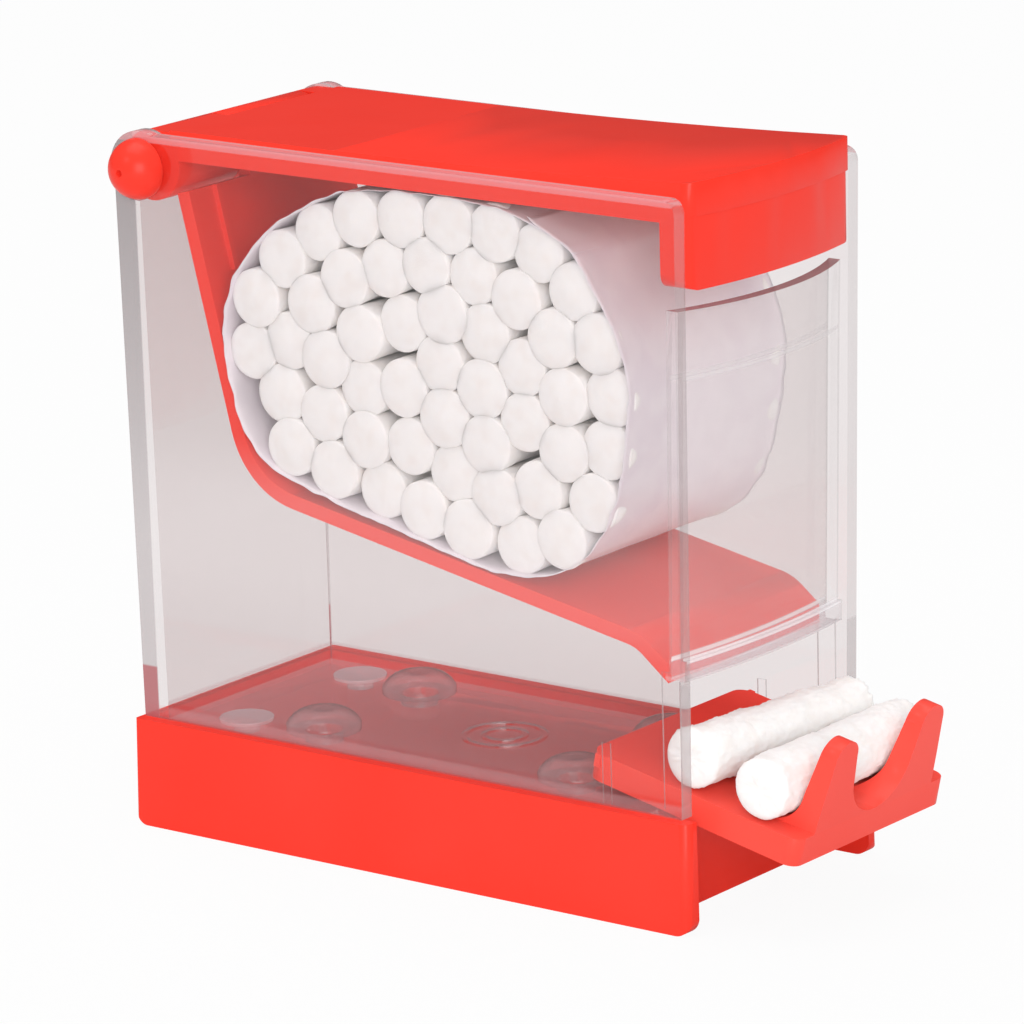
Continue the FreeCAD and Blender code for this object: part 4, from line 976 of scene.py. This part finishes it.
@dataclass
class TrayRolls:
    """The two loose rolls that lie side by side on the sloping tray, the rear one a little askew."""

    length: float = 38 * MM
    radius: float = 4.5 * MM
    end_round: float = 1.3 * MM
    end_power: float = 2.6
    lump_size: float = 5 * MM
    lump_height: float = 0.3 * MM
    lump_seeds: tuple[float, float] = (3.0, 7.0)
    nap_height: float = 0.28 * MM
    steps: int = 70
    slope: float = math.radians(12.3)
    askew: tuple[float, float] = (0.0, math.radians(-5))
    around: int = 96
    fullness: float = 0.985
    swell: float = 0.02
    dent: float = 0.01
    dimple: float = 0.4 * MM

    def build(self, cotton: bpy.types.Material) -> None:
        """Build both rolls where their solids lie, and report them.

        Args:
            cotton: Their finish.
        """
        shape = RollShape(
            self.length, self.end_round, self.end_power, self.lump_size, self.lump_height,
            nap_height=self.nap_height, steps=self.steps,
        )
        angles = np.linspace(0, 2 * math.pi, self.around, endpoint=False)
        for name, turn, seed in zip(("tray_roll_front", "tray_roll_rear"), self.askew, self.lump_seeds):
            low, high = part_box(name)
            lean = Matrix.Rotation(self.slope, 4, "Y") @ Matrix.Rotation(turn, 4, "Z")
            oval = self.swell * np.sin(2 * angles + seed) + self.dent * np.sin(3 * angles)
            radii = self.radius * (self.fullness + oval)
            spot = Matrix.Translation((low + high) / 2) @ lean
            points, faces = shape.mesh(radii, self.radius, self.dimple, seed, spot)
            piece = make_piece("cotton_" + name, points, faces, cotton)
            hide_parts(name)
            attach(piece, Body.TRAY.value)
            log.info("%s: %d faces", piece.name, len(piece.data.polygons))


@dataclass
class Mouldings:
    """The rigid pieces that keep their CAD shape: they get their finish and softly broken edges."""

    nodes: tuple[str, ...]
    edge_round: float
    edge_angle: float = math.radians(32)
    edge_steps: int = 2
    weld_reach: float = 0.001 * MM

    def dress(self, material: bpy.types.Material) -> None:
        """Give each piece its finish, and report it.

        Args:
            material: The finish.
        """
        for name in self.nodes:
            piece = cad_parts[name]
            piece.data.materials.clear()
            piece.data.materials.append(material)
            weld = piece.modifiers.new("joined_faces", "WELD")
            weld.merge_threshold = self.weld_reach
            soft = piece.modifiers.new("broken_edges", "BEVEL")
            soft.width = self.edge_round
            soft.segments = self.edge_steps
            soft.limit_method = "ANGLE"
            soft.angle_limit = self.edge_angle
            soft.harden_normals = True
            log.info("%s: %s", name, material.name)


@dataclass(frozen=True)
class Lamp:
    """A square lamp: where it hangs, its side in metres and its power in watts."""

    name: str
    place: Point
    size: float
    power: float

    def hang(self, target: Point) -> None:
        """Hang the lamp so that it points at a target.

        Args:
            target: The point that it shines at.
        """
        data = bpy.data.lights.new(self.name, "AREA")
        data.shape = "SQUARE"
        data.size = self.size
        data.energy = self.power
        lamp = bpy.data.objects.new(self.name, data)
        lamp.location = self.place
        aim = Vector(target) - Vector(self.place)
        lamp.rotation_euler = aim.to_track_quat("-Z", "Y").to_euler()
        bpy.context.scene.collection.objects.link(lamp)


@dataclass(frozen=True)
class Studio:
    """A plain pale floor, an even sky, two soft lamps and a small one for the highlights."""

    floor_size: float = 6.0
    floor_colour: str = "#dcdcdc"
    # Seen directly the floor is this near to plain white, so that little more than the shadow shows on it.
    floor_glow: float = 0.94
    sky: float = 0.66
    mirrored_sky: float = 0.08
    middle: Point = (0.0, 0.0, 0.05)
    lamps: tuple[Lamp, ...] = (
        Lamp("key_lamp", (0.95, -1.09, 0.44), 0.8, 10.2),
        Lamp("top_lamp", (-0.2, 0.0, 1.3), 1.0, 6.3),
        Lamp("glint_lamp", (-0.35, -1.0, 0.9), 0.12, 1.0),
    )

    def seen_directly(self, tree: bpy.types.NodeTree) -> Socket:
        """Return a value of 1 for rays that come from the camera or through a clear piece."""
        path = add_node(tree, "LightPath")
        return add_node(tree, "Math", {"operation": "MAXIMUM"},
                        {0: path.outputs["Is Camera Ray"], 1: path.outputs["Is Transmission Ray"]}).outputs[0]

    def build_floor(self) -> None:
        """Lay the floor under the object."""
        half = self.floor_size / 2
        low = cad_box[0][2]
        mesh = bpy.data.meshes.new("studio_floor")
        corners = [(-half, -half, low), (half, -half, low), (half, half, low), (-half, half, low)]
        mesh.from_pydata(corners, [], [(0, 1, 2, 3)])
        floor = bpy.data.objects.new("studio_floor", mesh)
        bpy.context.scene.collection.objects.link(floor)
        material, tree, output = blank_material("white_seamless_paper")
        paper = add_node(tree, "BsdfDiffuse", {"Color": linear(self.floor_colour)})
        glow = add_node(tree, "Emission", {"Color": linear("#ffffff"), "Strength": 1.0})
        share = add_node(tree, "Math", {"operation": "MULTIPLY", 1: self.floor_glow},
                         {0: self.seen_directly(tree)})
        mixed = add_node(tree, "MixShader",
                         links={0: share.outputs[0], 1: paper.outputs[0], 2: glow.outputs[0]})
        tree.links.new(mixed.outputs[0], output.inputs["Surface"])
        mesh.materials.append(material)

    def build_sky(self) -> None:
        """Set the even light of the room, which shows as plain white but is mirrored as a dim room."""
        world = bpy.data.worlds.new("studio_sky")
        world.use_nodes = True
        tree = world.node_tree
        tree.nodes.clear()
        glossy = add_node(tree, "LightPath").outputs["Is Glossy Ray"]
        unseen = add_node(tree, "MapRange", {"To Min": self.sky, "To Max": self.mirrored_sky},
                          {"Value": glossy})
        strength = add_node(tree, "MapRange", {"To Max": 1.0},
                            {"Value": self.seen_directly(tree), "To Min": unseen.outputs[0]})
        sky = add_node(tree, "Background", {"Color": linear("#ffffff")}, {"Strength": strength.outputs[0]})
        output = add_node(tree, "OutputWorld")
        tree.links.new(sky.outputs[0], output.inputs["Surface"])
        bpy.context.scene.world = world

    def build(self) -> None:
        """Build the whole studio."""
        self.build_floor()
        self.build_sky()
        for lamp in self.lamps:
            lamp.hang(self.middle)
        log.info("studio: floor, sky and %d lamps", len(self.lamps))


@dataclass(frozen=True)
class StudioCamera:
    """A long lens that looks down a little at the right side and the front."""

    place: Point = (0.546545, -0.710646, 0.281962)
    azimuth: float = math.radians(37.438)
    elevation: float = math.radians(14.475)
    roll: float = -0.026411
    lens_mm: float = 219.915
    sensor_mm: float = 36.0
    clip: tuple[float, float] = (0.05, 20.0)

    def build(self) -> None:
        """Create the camera and make it the scene's."""
        data = bpy.data.cameras.new("studio_camera")
        data.sensor_width = self.sensor_mm
        data.lens = self.lens_mm
        data.clip_start, data.clip_end = self.clip
        camera = bpy.data.objects.new("studio_camera", data)
        back = Vector((
            math.sin(self.azimuth) * math.cos(self.elevation),
            -math.cos(self.azimuth) * math.cos(self.elevation),
            math.sin(self.elevation),
        ))
        right = Vector((math.cos(self.azimuth), math.sin(self.azimuth), 0.0))
        turned = Matrix.Rotation(self.roll, 3, back)
        axes = Matrix((turned @ right, turned @ back.cross(right), back)).transposed()
        camera.matrix_world = Matrix.Translation(self.place) @ axes.to_4x4()
        bpy.context.scene.collection.objects.link(camera)
        bpy.context.scene.camera = camera
        log.info("camera: %.1f mm", self.lens_mm)


def main() -> None:
    """Build the camera, the studio and each sub-assembly in order."""
    logging.basicConfig(level=logging.INFO, format="%(name)s: %(message)s")
    bpy.context.scene.view_settings.view_transform = "Standard"
    bpy.context.scene.cycles.transparent_max_bounces = 32
    StudioCamera().build()
    Studio().build()
    red = RedMoulding().build()
    # The tray takes a paler copy of the red moulding: painted light that stands in for the whitish
    # reflections on its faces.
    painted_pale_red = RedMoulding("red_abs_painted_paler", "#ff5346", "#fd4a3d").build()
    clear = ClearMoulding().build()
    vinyl = SoftVinyl().build()
    plug_vinyl = SoftVinyl("clear_vinyl_plug", milk="#efe2e6", rim="#d9c6ca", milk_share=0.42).build()
    cotton = WoundCotton().build()
    film = WrapperFilm().build()
    Mouldings(("tray",), edge_round=0.45 * MM).dress(painted_pale_red)
    Mouldings(("base_shell", "lid", "chute"), edge_round=0.25 * MM).dress(red)
    Mouldings(("hinge_pin", "hinge_cap"), edge_round=0.12 * MM).dress(red)
    Mouldings(("clear_housing",), edge_round=0.18 * MM).dress(clear)
    for start, finish in (("suction_cup_", vinyl), ("floor_plug_", plug_vinyl)):
        soft_pieces = tuple(sorted(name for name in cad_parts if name.startswith(start)))
        Mouldings(soft_pieces, edge_round=0.12 * MM).dress(finish)
    CottonPack().build(cotton, film)
    TrayRolls().build(cotton)


if __name__ == "__main__":
    main()
